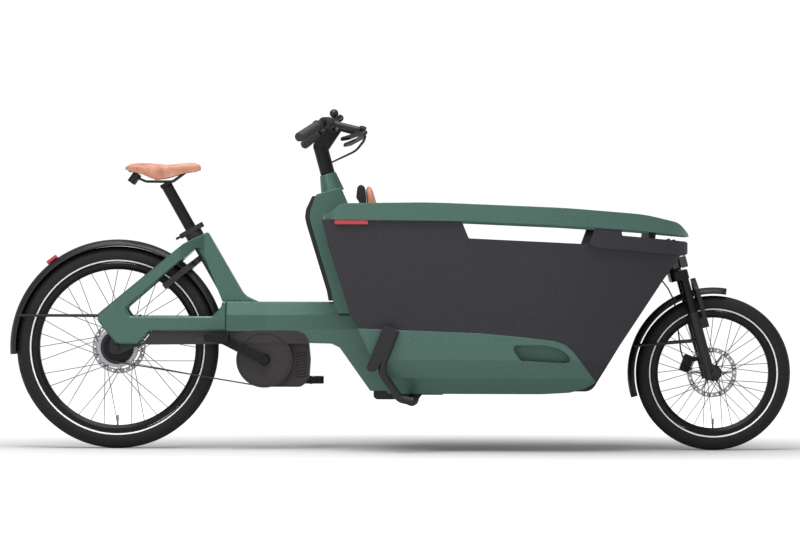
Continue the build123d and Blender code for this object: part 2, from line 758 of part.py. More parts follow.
# ---------------------------------------------------------------- seat clamp, post and saddle
with BuildPart() as seat_clamp:
    with BuildSketch(seat_axis.offset(1)):
        RectangleRounded(88, 62, 18)
        Circle(post_radius + running_fit, mode=Mode.SUBTRACT)
    extrude(amount=clamp_height)
    # collar between the plate and the tube's sleeve
    with BuildSketch(seat_axis.offset(-clamp_collar)):
        Circle(post_radius + 11)
        Circle(post_radius + running_fit, mode=Mode.SUBTRACT)
    extrude(amount=clamp_collar + 1)
    add(seat_tube.part, mode=Mode.SUBTRACT)
    add(rear_stays.part, mode=Mode.SUBTRACT)
    with BuildSketch(seat_axis.offset(5)):
        with Locations((-48, 0)):
            RectangleRounded(26, 12, 4)
    extrude(amount=8)

with BuildPart() as seatpost:
    with BuildSketch(seat_axis.offset(-post_insertion)):
        Circle(post_radius)
        Circle(post_radius - 3, mode=Mode.SUBTRACT)
    extrude(amount=post_insertion + post_exposed)
    with BuildSketch(seat_axis.offset(post_exposed)):
        Circle(post_radius)
    extrude(amount=16)
    with BuildSketch(seat_axis.offset(post_exposed + 14)):
        RectangleRounded(40, 50, 8)
    extrude(amount=12)

saddle_x = rear_x + 23
saddle_side = [(0, 926), (2, 946), (20, 958), (86, 962), (150, 957), (222, 964), (250, 960), (257, 946),
               (244, 930), (212, 928), (150, 908), (94, 901), (60, 922)]
saddle_side_radii = [6, 10, 20, 200, 300, 60, 14, 10, 6, 60, 60, 30, 20]
saddle_plan = [(0, 62), (12, 84), (50, 88), (105, 62), (160, 30), (240, 22), (258, 10)]
with BuildPart() as saddle_cover:
    add(side_slab(saddle_side, saddle_side_radii, 100, -100, saddle_x))
    with BuildSketch(Plane.XY):
        Polygon(*[(saddle_x + x, y) for x, y in saddle_plan],
                *[(saddle_x + x, -y) for x, y in reversed(saddle_plan)], align=None)
        fillet(vertices().filter_by(lambda v: v.X > saddle_x + 20), 6)
    extrude(amount=far, mode=Mode.INTERSECT)
    # hollow underside over the rails
    with BuildSketch(Plane.XY):
        Polygon(*[(saddle_x + 10 + x * 0.9, y * 0.82) for x, y in saddle_plan],
                *[(saddle_x + 10 + x * 0.9, -y * 0.82) for x, y in reversed(saddle_plan)],
                align=None)
    extrude(amount=936, mode=Mode.SUBTRACT)

head = seat_axis.offset(post_exposed + 26).origin
with BuildPart() as saddle_chassis:
    # base plate under the cover, two rails and two rubber buffers
    with BuildSketch(Plane.XY.offset(930)):
        Polygon(*[(saddle_x + 14 + x * 0.86, y * 0.76) for x, y in saddle_plan],
                *[(saddle_x + 14 + x * 0.86, -y * 0.76) for x, y in reversed(saddle_plan)],
                align=None)
    extrude(amount=5.8)
    rail_points = [(saddle_x + 34, 22, 914), (saddle_x + 70, 22, head.Z + 4.5),
                   (saddle_x + 160, 22, head.Z + 4.5), (saddle_x + 205, 14, 931)]
    add(both_sides(tube_along(rail_points, [20, 24], 4)))
    add(both_sides(rod((saddle_x + 20, 30, 894), (saddle_x + 42, 30, 924.5), 13)))
    add(seatpost.part, mode=Mode.SUBTRACT)

# ---------------------------------------------------------------- ring lock
lock_lean = 39.5
lock_centre = (rear_x + 200, rear_z + 237)
lock_plane = Plane(origin=(lock_centre[0], 0, lock_centre[1]),
                   x_dir=(cos(radians(lock_lean)), 0, sin(radians(lock_lean))),
                   z_dir=(-sin(radians(lock_lean)), 0, cos(radians(lock_lean))))
lock_radius = 72.0
with BuildPart() as ring_lock:
    with BuildSketch(lock_plane.offset(-10)):
        Circle(lock_radius + 10)
        Circle(lock_radius - 10, mode=Mode.SUBTRACT)
        with Locations((-lock_radius - 60, 0)):
            Rectangle(160, 2 * lock_radius + 40, mode=Mode.SUBTRACT)
        for side in (-1, 1):
            with Locations((-18, side * lock_radius)):
                Rectangle(70, 20)
    extrude(amount=20)
    with BuildSketch(lock_plane):
        Circle(lock_radius + 5.5)
        Circle(lock_radius - 5.5, mode=Mode.SUBTRACT)
    extrude(amount=5.5, both=True, mode=Mode.SUBTRACT)
    with BuildSketch(lock_plane.offset(-10)):
        with Locations((lock_radius + 8, 0)):
            Rectangle(24, 60)
        with Locations((lock_radius + 22, 0)):
            Rectangle(11, 34)
    extrude(amount=20)
    add(seat_tube.part, mode=Mode.SUBTRACT)
    with BuildSketch(lock_plane):
        Circle(lock_radius + 5.5)
        Circle(lock_radius - 5.5, mode=Mode.SUBTRACT)
    extrude(amount=5.5, both=True, mode=Mode.SUBTRACT)

with BuildPart() as lock_shackle:
    with BuildSketch(Plane(origin=lock_plane.origin, x_dir=lock_plane.x_dir,
                           z_dir=(0, 1, 0))):
        with Locations((lock_radius, 0)):
            Circle(4.5)
    revolve(axis=Axis(lock_plane.origin, lock_plane.z_dir), revolution_arc=100)

# ---------------------------------------------------------------- cargo box
rim_outline = [
    (rear_x + 697, 768), (rear_x + 697, 782), (rear_x + 760, 822), (front_x - 954, 826),
    (front_x - 516, 809), (front_x - 247, 789), (front_x - 129, 763), (front_x - 88, 723),
    (front_x - 88, 716), (front_x - 247, 733), (front_x - 516, 750), (front_x - 853, 764)]
rim_radii = [3, 8, 60, 2500, 3500, 500, 60, 3, 3, 1200, 2500, 3000]
boundary = [
    (rear_x + 811, 410), (rear_x + 950, 405), (front_x - 786, 395), (front_x - 651, 383),
    (front_x - 546, 371), (front_x - 509, 358), (front_x - 482, 334), (front_x - 408, 236)]
boundary_radii = [0, 400, 900, 900, 60, 24, 24, 0]
wall_outline = boundary + [
    (front_x - 183, 570), (front_x - 118, 655), (front_x - 414, 680), (front_x - 433, 690),
    (front_x - 830, 708), (front_x - 853, 764), (front_x - 853, 800), (rear_x + 692, 800),
    (rear_x + 692, 768), (rear_x + 714, 680), (rear_x + 785, 458)]
wall_radii = boundary_radii + [200, 0, 0, 4, 6, 0, 0, 0, 6, 40, 20]
bumper_outline = [
    (front_x - 433, 690), (front_x - 408, 760), (front_x - 327, 760), (front_x - 324, 719),
    (front_x - 102, 701), (front_x - 80, 690), (front_x - 80, 668), (front_x - 106, 654),
    (front_x - 414, 680)]

with BuildPart() as box_rim:
    with BuildSketch(Plane.XY):
        add(plan_face(0, rear_x + 697))
        add(plan_face(rim_width, rear_x + 822), mode=Mode.SUBTRACT)
        fillet(vertices().filter_by(lambda v: v.X < rear_x + 700 and abs(v.Y) > 100), 60)
    extrude(amount=900)
    add(side_slab(rim_outline, rim_radii, far, -far), mode=Mode.INTERSECT)
    with BuildSketch(side_plane(0, rear_x)):
        add(rounded_face(tower_outline, tower_radii))
    extrude(amount=tower_half_width + side_gap, both=True, mode=Mode.SUBTRACT)

above_rim = side_slab([(box_rear - 300, 768), *reversed(rim_outline[8:]), (nose_x + 200, 716),
                       (nose_x + 200, 1000), (box_rear - 300, 1000)],
                      [0, *reversed(rim_radii[8:]), 0, 0, 0], far, -far)
with BuildPart() as box_side:
    add(outer_hull)
    add(wall_hull, mode=Mode.SUBTRACT)
    add(side_slab(wall_outline, wall_radii, -100, -far), mode=Mode.INTERSECT)
    add(above_rim, mode=Mode.SUBTRACT)
with BuildPart() as box_sides:
    add(both_sides(box_side.part))

skirt_outline = boundary + [
    (front_x - 408, 230), (front_x - 449, 209), (front_x - 493, 198), (front_x - 584, 193),
    (rear_x + 911, 193), (rear_x + 866, 290)]
skirt_radii = boundary_radii + [0, 40, 60, 300, 6, 30]
step_outline = [
    (front_x - 691, 356), (front_x - 584, 356), (front_x - 536, 346), (front_x - 509, 331),
    (front_x - 479, 295), (front_x - 658, 306)]
step_depth = 52.0
step_wall = 4.0
with BuildPart() as skirt:
    add(outer_hull)
    add(skirt_hull, mode=Mode.SUBTRACT)
    add(side_slab(skirt_outline, skirt_radii, -100, -far), mode=Mode.INTERSECT)
    # step let into the panel
    with BuildSketch(side_plane(-box_half_width + 52 + step_depth + step_wall)):
        add(rounded_face(step_outline, 12))
        offset(amount=step_wall)
    extrude(amount=step_depth + step_wall - 6)
    with BuildSketch(side_plane(-box_half_width + 52 + step_depth)):
        add(rounded_face(step_outline, 12))
    extrude(amount=far, mode=Mode.SUBTRACT)
with BuildPart() as skirts:
    add(both_sides(skirt.part))

panel_foot = floor_top - 6
front_panel_line = [(front_x - 448, panel_foot), (front_x - 229, 565), (front_x - 203, 745)]
with BuildPart() as box_end_panels:
    add(side_slab(front_panel_line + [(x - box_wall, z) for x, z in reversed(front_panel_line)],
                  [0, 60, 0, 0, 60, 0], far, -far))
    add(floor_frame.part, mode=Mode.SUBTRACT)
    add(side_slab([(rear_x + 796.5, 780), (rear_x + 844.5, 422), (rear_x + 864.5, 422),
                   (rear_x + 816.5, 780)], 0, far, -far))
    add(liner_hull, mode=Mode.INTERSECT)
    add(above_rim, mode=Mode.SUBTRACT)

floor_front = front_x - 484.0
floor_rear = floor_front - footwell_length
carrier_x = (floor_front + floor_rear) / 2
with BuildPart() as box_floor:
    with BuildSketch(Plane.XY.offset(floor_bottom)):
        with Locations((carrier_x, 0)):
            Rectangle(footwell_length, 2 * (box_half_width - 87))
            with GridLocations(carrier_spacing_x, carrier_spacing_y, 2, 2):
                Circle(carrier_hole_radius, mode=Mode.SUBTRACT)
    extrude(amount=floor_thickness)
    chamfer(faces().sort_by(Axis.Z)[-1].outer_wire().edges(), 1.5)

with BuildPart() as front_bumper:
    with BuildSketch(Plane.XY.offset(600)):
        add(plan_face(3, bend_x - 100))
        add(plan_face(3 + 22, bend_x - 200), mode=Mode.SUBTRACT)
    extrude(amount=200)
    add(side_slab(bumper_outline, [4, 0, 0, 3, 0, 0, 0, 0, 0], far, -far), mode=Mode.INTERSECT)
    add(above_rim, mode=Mode.SUBTRACT)

# ---------------------------------------------------------------- bench
bench_rear = rear_x + 955.0
bench_front = bench_rear + bench_depth
bench_middle = (bench_rear + bench_front) / 2
lid_bottom = bench_top - lid_thickness
lid_rear = rear_x + 913.0
lid_front = bench_front + 6.0
ledge_rear = rear_x + 867.0
with BuildPart() as bench_base:
    with BuildSketch(Plane.XY.offset(floor_bottom)):
        with Locations((bench_middle, 0)):
            Rectangle(bench_depth, 2 * (box_half_width - 92))
            Rectangle(bench_depth - 16, 2 * (box_half_width - 100), mode=Mode.SUBTRACT)
    extrude(amount=lid_bottom - floor_bottom - side_gap)
    with BuildSketch(Plane.XY.offset(floor_bottom)):
        with Locations((bench_middle, 0)):
            Rectangle(bench_depth, 2 * (box_half_width - 92))
    extrude(amount=6)
    # ledge behind the lid, carrying the backrest's shell
    add(side_slab([(ledge_rear, 428), (bench_rear, 428), (bench_rear, lid_bottom - side_gap),
                   (lid_rear - 1, lid_bottom - side_gap), (lid_rear - 1, bench_top),
                   (ledge_rear, bench_top)], 0, box_half_width - 92, 92 - box_half_width))
    with BuildSketch(Plane.XY.offset(lid_bottom - 40)):
        with Locations((bench_front + 3, 0)):
            Rectangle(6, 300)
    extrude(amount=40 - side_gap)
    add(side_slab([(rear_x + 868, bench_top - 1), (rear_x + 824, 797), (rear_x + 810, 834),
                   (rear_x + 803, 842), (rear_x + 807, 880), (rear_x + 819, 886),
                   (rear_x + 831, 880), (rear_x + 836, 800), (rear_x + 880, bench_top - 1)],
                  [0, 30, 6, 8, 14, 6, 6, 40, 0], 188, -188))
    add(box_rim.part, mode=Mode.SUBTRACT)

with BuildPart() as backrest_cushions:
    for side in (-1, 1):
        add(side_slab([(rear_x + 873.5, 500), (rear_x + 836.5, 800), (rear_x + 831.5, 878),
                       (rear_x + 836, 889), (rear_x + 855, 886), (rear_x + 872, 828),
                       (rear_x + 887, 770), (rear_x + 907, 502)],
                      [4, 40, 4, 6, 12, 60, 60, 12], side * 97 + 86, side * 97 - 86))
    add(bench_base.part, mode=Mode.SUBTRACT)

with BuildPart() as battery:
    with BuildSketch(Plane.XY.offset(floor_bottom + 6)):
        with Locations((bench_middle, 0)):
            RectangleRounded(150, 360, 14)
    extrude(amount=88)
    chamfer(faces().sort_by(Axis.Z)[-1].outer_wire().edges(), 6)

lid_middle = (lid_rear + lid_front) / 2
with BuildPart() as bench_lid:
    with BuildSketch(Plane.XY.offset(lid_bottom)):
        with Locations((lid_middle, 0)):
            Rectangle(lid_front - lid_rear, 2 * (box_half_width - 74))
    extrude(amount=lid_thickness)
    fillet(edges().filter_by(Axis.Z), 10)

with BuildPart() as seat_cushion:
    with BuildSketch(Plane.XY.offset(bench_top)):
        with Locations((lid_middle, 0)):
            RectangleRounded(lid_front - lid_rear - 10, 2 * (box_half_width - 84), 24)
    extrude(amount=cushion_thickness)
    fillet(faces().sort_by(Axis.Z)[-1].outer_wire().edges(), 12)

# ---------------------------------------------------------------- fork and its wheel fittings
def fork_side(y):
    """Side plane with its origin on the fork's axis at the crown's top."""
    return lean_side(crown_x, crown_z, y)


with BuildPart() as fork_crown:
    with BuildSketch(head_axis.offset(-crown_height)):
        with Locations((leg_offset - 11, 0)):
            RectangleRounded(60, leg_spacing + 2 * stanchion_radius + 10, 18)
    extrude(amount=crown_height)
    with BuildSketch(head_axis):
        Circle(steerer_radius)
    extrude(amount=head_tube_length + 22)
    with BuildSketch(head_axis.offset(head_tube_length + 6)):
        Circle(30)
    extrude(amount=9)
    with BuildSketch(head_axis.offset(-crown_height)):
        with Locations((leg_offset, leg_y), (leg_offset, -leg_y)):
            Circle(stanchion_radius)
    extrude(amount=-(crown_drop - 75 - crown_height))

lower_foot = crown_drop + 14
with BuildPart() as fork_lowers:
    with BuildSketch(head_axis.offset(-lower_foot)):
        with Locations((leg_offset, leg_y), (leg_offset, -leg_y)):
            Circle(lower_radius)
    extrude(amount=lower_foot - lower_top)
    for side in (-1, 1):
        with BuildSketch(fork_side(side * leg_y + 13)):
            with Locations((fork_rake, -crown_drop)):
                Circle(20)
            with Locations((leg_offset, -crown_drop + 30)):
                Circle(lower_radius - 2)
            make_hull()
        extrude(amount=26)
    # arch over the tyre, ahead of the stanchions
    with BuildSketch(Plane(origin=head_axis.origin, x_dir=(0, 1, 0),
                           z_dir=head_axis.x_dir).offset(47)):
        with BuildLine():
            FilletPolyline((-leg_y - 14, -205), (-leg_y - 8, -70), (-30, -36), (30, -36),
                           (leg_y + 8, -70), (leg_y + 14, -205), (leg_y - 8, -205),
                           (leg_y - 14, -84), (24, -52), (-24, -52), (-leg_y + 14, -84),
                           (-leg_y + 8, -205),
                           radius=[0, 26, 20, 20, 26, 0, 0, 12, 12, 12, 12, 0], close=True)
        make_face()
    extrude(amount=13)
    with BuildSketch(head_axis.offset(-205)):
        with Locations((leg_offset + 22, leg_y), (leg_offset + 22, -leg_y)):
            Rectangle(26, 20)
    extrude(amount=34)
    with BuildSketch(head_axis.offset(-crown_drop + 20)):
        with Locations((leg_offset, leg_y), (leg_offset, -leg_y)):
            Circle(stanchion_radius + running_fit)
    extrude(amount=crown_drop, mode=Mode.SUBTRACT)
    # through-axle with its heads
    with BuildSketch(wheel_plane(front_x, front_z, -leg_y - 12)):
        Circle(front_axle_radius)
    extrude(amount=leg_spacing + 24)
    for side in (-1, 1):
        with BuildSketch(wheel_plane(front_x, front_z, side * (leg_y + 15.5) - 3)):
            Circle(11)
        extrude(amount=6)

with BuildPart() as front_caliper:
    with BuildSketch(side_plane(54)):
        with Locations(Pos(front_x - 86, front_z + 30) * Rot(0, 0, -20)):
            RectangleRounded(34, 58, 7)
        with Locations((front_x - 62, front_z + 44)):
            Rectangle(30, 14, rotation=12)
    extrude(amount=24)
    with BuildSketch(wheel_plane(front_x, front_z, 36.5)):
        Circle(85.5)
    extrude(amount=6, mode=Mode.SUBTRACT)
    add(fork_lowers.part, mode=Mode.SUBTRACT)

with BuildPart() as front_fender:
    outer = [(front_fender_radius - fender_skirt, front_fender_half_width),
             (front_fender_radius - 7, front_fender_half_width),
             (front_fender_radius, front_fender_half_width - 11)]
    inner = [(outer[0][0], outer[0][1] - fender_wall),
             (outer[1][0] - 1, outer[1][1] - fender_wall),
             (outer[2][0] - fender_wall, outer[2][1] - 1.2)]
    half = outer + [(r, -y) for r, y in reversed(outer)]
    back = inner + [(r, -y) for r, y in reversed(inner)]
    with BuildSketch(radial_plane(front_x, front_z, 81)):
        Polygon(*half, *reversed(back), align=None)
    revolve(axis=Axis((front_x, 0, front_z), (0, -1, 0)), revolution_arc=116)
    add(both_sides(rod((front_x - 275, front_fender_half_width + 2.5, front_z + 90),
                       (front_x - 64.5, leg_y - 8, front_z + 108), 5)))
    with BuildSketch(head_axis.offset(-lower_foot)):
        with Locations((leg_offset, leg_y), (leg_offset, -leg_y)):
            Circle(lower_radius)
    extrude(amount=lower_foot - lower_top, mode=Mode.SUBTRACT)
    add(fork_lowers.part, mode=Mode.SUBTRACT)

with BuildPart() as headlight:
    with BuildSketch(fork_side(24)):
        with Locations((36, 26)):
            RectangleRounded(24, 38, 4)
    extrude(amount=48)
    with BuildSketch(head_axis.offset(12)):
        Circle(head_tube_radius + 6)
        Circle(head_tube_radius, mode=Mode.SUBTRACT)
        with Locations((-40, 0)):
            Rectangle(60, 100, mode=Mode.SUBTRACT)
    extrude(amount=28)

# ---------------------------------------------------------------- handlebar assembly
bar_x = rear_x + 729.0
bar_z = 1078.0
with BuildPart() as steering_column:
    with BuildSketch(column_axis.offset(-300)):
        Circle(column_radius)
        Circle(column_radius - 2.5, mode=Mode.SUBTRACT)
    extrude(amount=302)
    with BuildSketch(column_axis.offset(-250)):
        Circle(25)
        Circle(column_radius - 1, mode=Mode.SUBTRACT)
    extrude(amount=10)
    with BuildSketch(column_axis.offset(-4)):
        Circle(stem_radius)
        Circle(column_radius - 2.5, mode=Mode.SUBTRACT)
    extrude(amount=stem_top)
    # forward extension with the bar clamp
    with BuildSketch(side_plane(21)):
        with Locations((column_x - stem_top * sin(tilt) + 2, column_height + stem_top)):
            Circle(27)
        with Locations((bar_x, bar_z)):
            Circle(22)
        make_hull()
    extrude(amount=42)
    with BuildSketch(side_plane(21)):
        with Locations((bar_x, bar_z)):
            Circle(bar_radius)
    extrude(amount=42, mode=Mode.SUBTRACT)

half_bar = [(bar_x, 50, bar_z), (bar_x + 6, 110, bar_z + 17), (bar_x - 42, 218, bar_z + 10),
            (bar_x - 111, bar_half_width, bar_z - 41)]
with BuildPart() as handlebar:
    whole = [(x, -y, z) for x, y, z in reversed(half_bar)] + half_bar
    add(tube_along(whole, [80, 60, 60, 60, 60, 80], bar_radius))
    add(steering_column.part, mode=Mode.SUBTRACT)


def on_bar(side, run, start, length, radius, bore):
    """Sleeve on one straight run of the bar, from a distance inboard of the run's outer end."""
    outer, inner = [Vector(x, side * y, z) for x, y, z in (half_bar[run + 1], half_bar[run])]
    way = (inner - outer).normalized()
    with BuildPart() as sleeve:
        with BuildSketch(Plane(origin=outer + way * start, z_dir=way)):
            Circle(radius)
            if bore:
                Circle(bore, mode=Mode.SUBTRACT)
        extrude(amount=length)
    return sleeve.part


with BuildPart() as grips:
    for side in (-1, 1):
        add(on_bar(side, 2, 0, grip_length, grip_radius, bar_radius))
        add(on_bar(side, 2, grip_length - 6, 6, grip_radius + 3, bar_radius))
        add(on_bar(side, 2, -4, 4, grip_radius, 0))

with BuildPart() as twist_shifter:
    add(on_bar(-1, 1, 18, 40, 20, bar_radius + running_fit))
    with BuildSketch(Plane(origin=Vector(half_bar[2][0], -half_bar[2][1], half_bar[2][2]),
                           z_dir=Vector(48, 108, 7))):
        with PolarLocations(20.5, 20):
            Circle(1.6)
    extrude(amount=far, both=True, mode=Mode.SUBTRACT)

lever_pivot = Vector(rear_x + 823, 178, 1066)
lever_tip = Vector(rear_x + 761, 300, 1030)
lever_half = 5.0              # half the thickness of a brake lever's blade


def lever_plane(side):
    """Plane of a brake lever: x from its pivot to its tip, y towards the grip."""
    way = (lever_tip - lever_pivot).normalized()
    normal = way.cross(Vector(-0.976, 0, 0.217)).normalized()
    return Plane(origin=(lever_pivot.X, side * lever_pivot.Y, lever_pivot.Z),
                 x_dir=(way.X, side * way.Y, way.Z),
                 z_dir=(side * normal.X, normal.Y, side * normal.Z))


def blade(side):
    """Brake lever's blade with its pivot's hole."""
    with BuildPart() as lever:
        with BuildSketch(lever_plane(side).offset(-lever_half)):
            add(rounded_face([(-9, -8), (24, -13), (110, -8), (142, 3), (139, 11), (60, 0), (10, 9),
                              (-6, 9)], [5, 10, 40, 2, 2, 20, 3, 3]))
            Circle(4 + running_fit, mode=Mode.SUBTRACT)
        extrude(amount=2 * lever_half)
    return lever


brake_lever_left = blade(1)
brake_lever_right = blade(-1)
clamp_start = 66.0
with BuildPart() as bar_controls:
    for side in (-1, 1):
        # lever body from its clamp on the bar to the forked pivot
        add(on_bar(side, 1, clamp_start, 16, 17, bar_radius))
        outer, inner = [Vector(x, side * y, z) for x, y, z in (half_bar[2], half_bar[1])]
        clamp_place = outer + (inner - outer).normalized() * (clamp_start + 8)
        pivot = Vector(lever_pivot.X, side * lever_pivot.Y, lever_pivot.Z)
        way = (pivot - clamp_place).normalized()
        with BuildPart(mode=Mode.PRIVATE) as body:
            add(rod(clamp_place + way * (bar_radius + 2), pivot, 10))
            with BuildSketch(lever_plane(side).offset(-12)):
                Circle(12)
            extrude(amount=24)
            with BuildSketch(lever_plane(side).offset(-lever_half - side_gap)):
                Circle(15.5)
                with Locations((30, 0)):
                    Rectangle(60, 30)
            extrude(amount=2 * (lever_half + side_gap), mode=Mode.SUBTRACT)
            with BuildSketch(lever_plane(side).offset(-12)):
                Circle(4)
            extrude(amount=24)
        add(body.part)
    # display over the stem, bell and light switch beside it
    with BuildPart(mode=Mode.PRIVATE) as display:
        with BuildSketch(Plane(origin=(bar_x + 2, 0, bar_z + 25), x_dir=(0, -1, 0),
                               z_dir=(-0.42, 0, 0.9075))):
            RectangleRounded(76, 52, 9)
        extrude(amount=14)
        fillet(faces().sort_by(Axis.Z)[-1].outer_wire().edges(), 4)
    add(display.part)
    for side in (-1, 1):
        with BuildSketch(wheel_plane(bar_x, bar_z, side * 29 - 5)):
            Circle(17)
            with Locations((4, -18)):
                Rectangle(16, 24)
            Circle(bar_radius, mode=Mode.SUBTRACT)
        extrude(amount=10)
    for side, x, z, radius in ((-1, bar_x - 2, 1126, 15), (1, bar_x + 16, 1117, 12)):
        with BuildSketch(Plane.XY.offset(bar_z + 4)):
            with Locations(((x + bar_x + 2) / 2, side * 78)):
                Circle(8)
        extrude(amount=z - bar_z - 8)
        with BuildPart(Location((x, side * 78, z)), mode=Mode.PRIVATE) as knob:
            Sphere(radius)
        add(knob.part)
    add(steering_column.part, mode=Mode.SUBTRACT)
    add(handlebar.part, mode=Mode.SUBTRACT)

hose_radius = 2.5
half_hose = [(lever_pivot.X - 16, lever_pivot.Y - 26, lever_pivot.Z + 4), (rear_x + 838, 96, 1052),
             (rear_x + 800, 40, 1004), (rear_x + 712, 9, 962)]
with BuildPart() as bar_hoses:
    add(both_sides(tube_along(half_hose, [60, 60], hose_radius)))
    add(steering_column.part, mode=Mode.SUBTRACT)
    add(bar_controls.part, mode=Mode.SUBTRACT)

hose_line = [(front_x - 174, 28, 574), (front_x - 149, 52, 545), (front_x - 126, 59, 500),
             (front_x - 104, 59, 335), (front_x - 94, 47, 300)]
with BuildPart() as front_hose:
    add(tube_along(hose_line, [24, 60, 20], hose_radius))
    add(front_caliper.part, mode=Mode.SUBTRACT)
    add(floor_frame.part, mode=Mode.SUBTRACT)

# ---------------------------------------------------------------- parking stand
stand_x = rear_x + stand_reach
leg_line = [(0, 0), (-40, 9), (-97, 91), (-97, 124), (-54, 233)]
foot_outline = [(-92, 252), (-45, 238), (-119, 97), (-156, 99)]
foot_width = 28.0
with BuildPart() as stand:
    with BuildSketch(wheel_plane(stand_x, stand_height, -stand_half_width)):
        Circle(stand_tube_radius + 0.5)
    extrude(amount=2 * stand_half_width)
    for side in (-1, 1):
        y = side * stand_half_width
        add(tube_along([(stand_x + x, y, stand_height + z) for x, z in leg_line], [30, 24, 30],
                       stand_tube_radius))
        with BuildPart(Location((stand_x, y, stand_height)), mode=Mode.PRIVATE) as knuckle:
            Sphere(stand_tube_radius + 2)
        add(knuckle.part)
        add(side_slab([(stand_x + x, stand_height + z) for x, z in foot_outline], [8, 14, 12, 14],
                      y + foot_width / 2, y - foot_width / 2))

bracket_top = keel_bottom
with BuildPart() as stand_bracket:
    add(side_slab([(-128, bracket_top), (-128, 176), (-118, 168), (-56, 168), (-40, 184),
                   (104, 184), (116, bracket_top)], [0, 8, 6, 8, 10, 8, 0], 42, -42, stand_x))
    for side in (-1, 1):
        with BuildSketch(side_plane(side * 60 + 9, stand_x)):
            with Locations((0, stand_height)):
                Circle(24)
            Polygon((-24, stand_height), (-40, 193), (40, 193), (24, stand_height), align=None)
        extrude(amount=18)
    with BuildSketch(Plane.XY.offset(184)):
        with Locations((stand_x, 0)):
            Rectangle(70, 138)
    extrude(amount=9)
    add(side_slab([(-22, 150), (22, 150), (22, 184), (-22, 184)], 0, 51, -51, stand_x),
        mode=Mode.SUBTRACT)
    with BuildSketch(side_plane(0, stand_x)):
        with Locations((0, stand_height)):
            Circle(stand_tube_radius + 0.5 + running_fit)
    extrude(amount=far, both=True, mode=Mode.SUBTRACT)

pieces = {
    "rear_stays": rear_stays, "main_beam": main_beam, "seat_tube": seat_tube,
    "floor_frame": floor_frame, "steering_bearings": steering_bearings,
    "tower_shell": tower_shell, "tower_rear_cover": tower_rear_cover, "motor_unit": motor_unit,
    "belt_guard": belt_guard, "front_pulley": front_pulley, "rear_pulley": rear_pulley,
    "drive_belt": drive_belt, "crank_arms": crank_arms, "pedal_right": pedal_right,
    "pedal_left": pedal_left, "rear_axle": rear_axle, "rear_caliper": rear_caliper,
    "rear_fender": rear_fender, "red_lamps": red_lamps, "seat_clamp": seat_clamp,
    "seatpost": seatpost, "saddle_cover": saddle_cover, "saddle_chassis": saddle_chassis,
    "ring_lock": ring_lock, "lock_shackle": lock_shackle, "box_rim": box_rim,
    "box_sides": box_sides, "skirts": skirts, "box_end_panels": box_end_panels,
    "box_floor": box_floor, "front_bumper": front_bumper, "bench_base": bench_base,
    "backrest_cushions": backrest_cushions, "battery": battery, "bench_lid": bench_lid,
    "seat_cushion": seat_cushion, "fork_crown": fork_crown, "fork_lowers": fork_lowers,
    "front_caliper": front_caliper, "front_fender": front_fender, "headlight": headlight,
    "steering_column": steering_column, "handlebar": handlebar, "grips": grips,
    "twist_shifter": twist_shifter, "brake_lever_left": brake_lever_left,
    "brake_lever_right": brake_lever_right, "bar_controls": bar_controls,
    "bar_hoses": bar_hoses, "front_hose": front_hose, "stand": stand,
    "stand_bracket": stand_bracket}
for end, group in wheels.items():
    for name, piece in group.items():
        pieces[f"{end}_{name}"] = piece
for label, piece in pieces.items():
    save(piece, label)
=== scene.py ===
# %% [markdown]
# A cargo bicycle, dressed in Blender around its engineering model.
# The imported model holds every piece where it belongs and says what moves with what.
# This lesson keeps the pieces whose shape is already right, replaces the soft and the finely shaped
# ones with surfaces worked out in numpy, and gives each a finish made only of shader nodes.

# %% Load the frame and keep its box
import math
import bpy
import numpy as np
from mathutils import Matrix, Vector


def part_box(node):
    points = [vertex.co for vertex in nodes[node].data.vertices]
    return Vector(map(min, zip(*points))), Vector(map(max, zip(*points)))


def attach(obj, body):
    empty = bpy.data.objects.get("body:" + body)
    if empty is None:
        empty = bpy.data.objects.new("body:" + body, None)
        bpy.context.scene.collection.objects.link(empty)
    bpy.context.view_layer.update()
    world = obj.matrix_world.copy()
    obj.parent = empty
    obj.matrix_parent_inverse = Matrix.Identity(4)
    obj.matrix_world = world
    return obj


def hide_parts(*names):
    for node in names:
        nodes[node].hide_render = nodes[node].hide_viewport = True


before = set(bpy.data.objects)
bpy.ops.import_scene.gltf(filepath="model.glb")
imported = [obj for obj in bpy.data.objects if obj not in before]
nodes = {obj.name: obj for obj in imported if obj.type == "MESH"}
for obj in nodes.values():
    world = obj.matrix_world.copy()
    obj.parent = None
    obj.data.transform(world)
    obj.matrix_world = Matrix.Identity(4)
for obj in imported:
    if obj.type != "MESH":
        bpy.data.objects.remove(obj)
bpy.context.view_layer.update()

# %% [markdown]
# The bicycle is looked at square from its right-hand side with a long lens, so that near and far
# sides nearly cover each other. A long lens far away does this without the flatness of a drawing.

# %% Camera
distance, picture_width, middle_height = 12.0, 2.696, 0.613
sensor_width, roll_degrees = 36.0, -0.19
camera_data = bpy.data.cameras.new("camera")
camera_data.lens = sensor_width * distance / picture_width
camera = bpy.data.objects.new("camera", camera_data)
camera.location = (-0.0015, -distance, middle_height)
camera.rotation_euler = (math.radians(90), math.radians(roll_degrees), 0)
bpy.context.scene.collection.objects.link(camera)
bpy.context.scene.camera = camera
print("lens", round(camera_data.lens, 1))

# %% [markdown]
# Colours are picked as sRGB hex values, which is how paint and screen samples are named.
# Shaders work in linear light, so one function undoes the sRGB curve.
# A second small function adds any node, sets it up and links it, which keeps each finish readable.

# %% Two helpers for finishes
def linear(code):
    """Linear RGBA of an sRGB hex colour: s / 12.92 in the darks, ((s + 0.055) / 1.055) ** 2.4 above."""
    s = np.array([int(code[i:i + 2], 16) for i in (1, 3, 5)]) / 255
    return (*np.where(s <= 0.04045, s / 12.92, ((s + 0.055) / 1.055) ** 2.4).tolist(), 1.0)


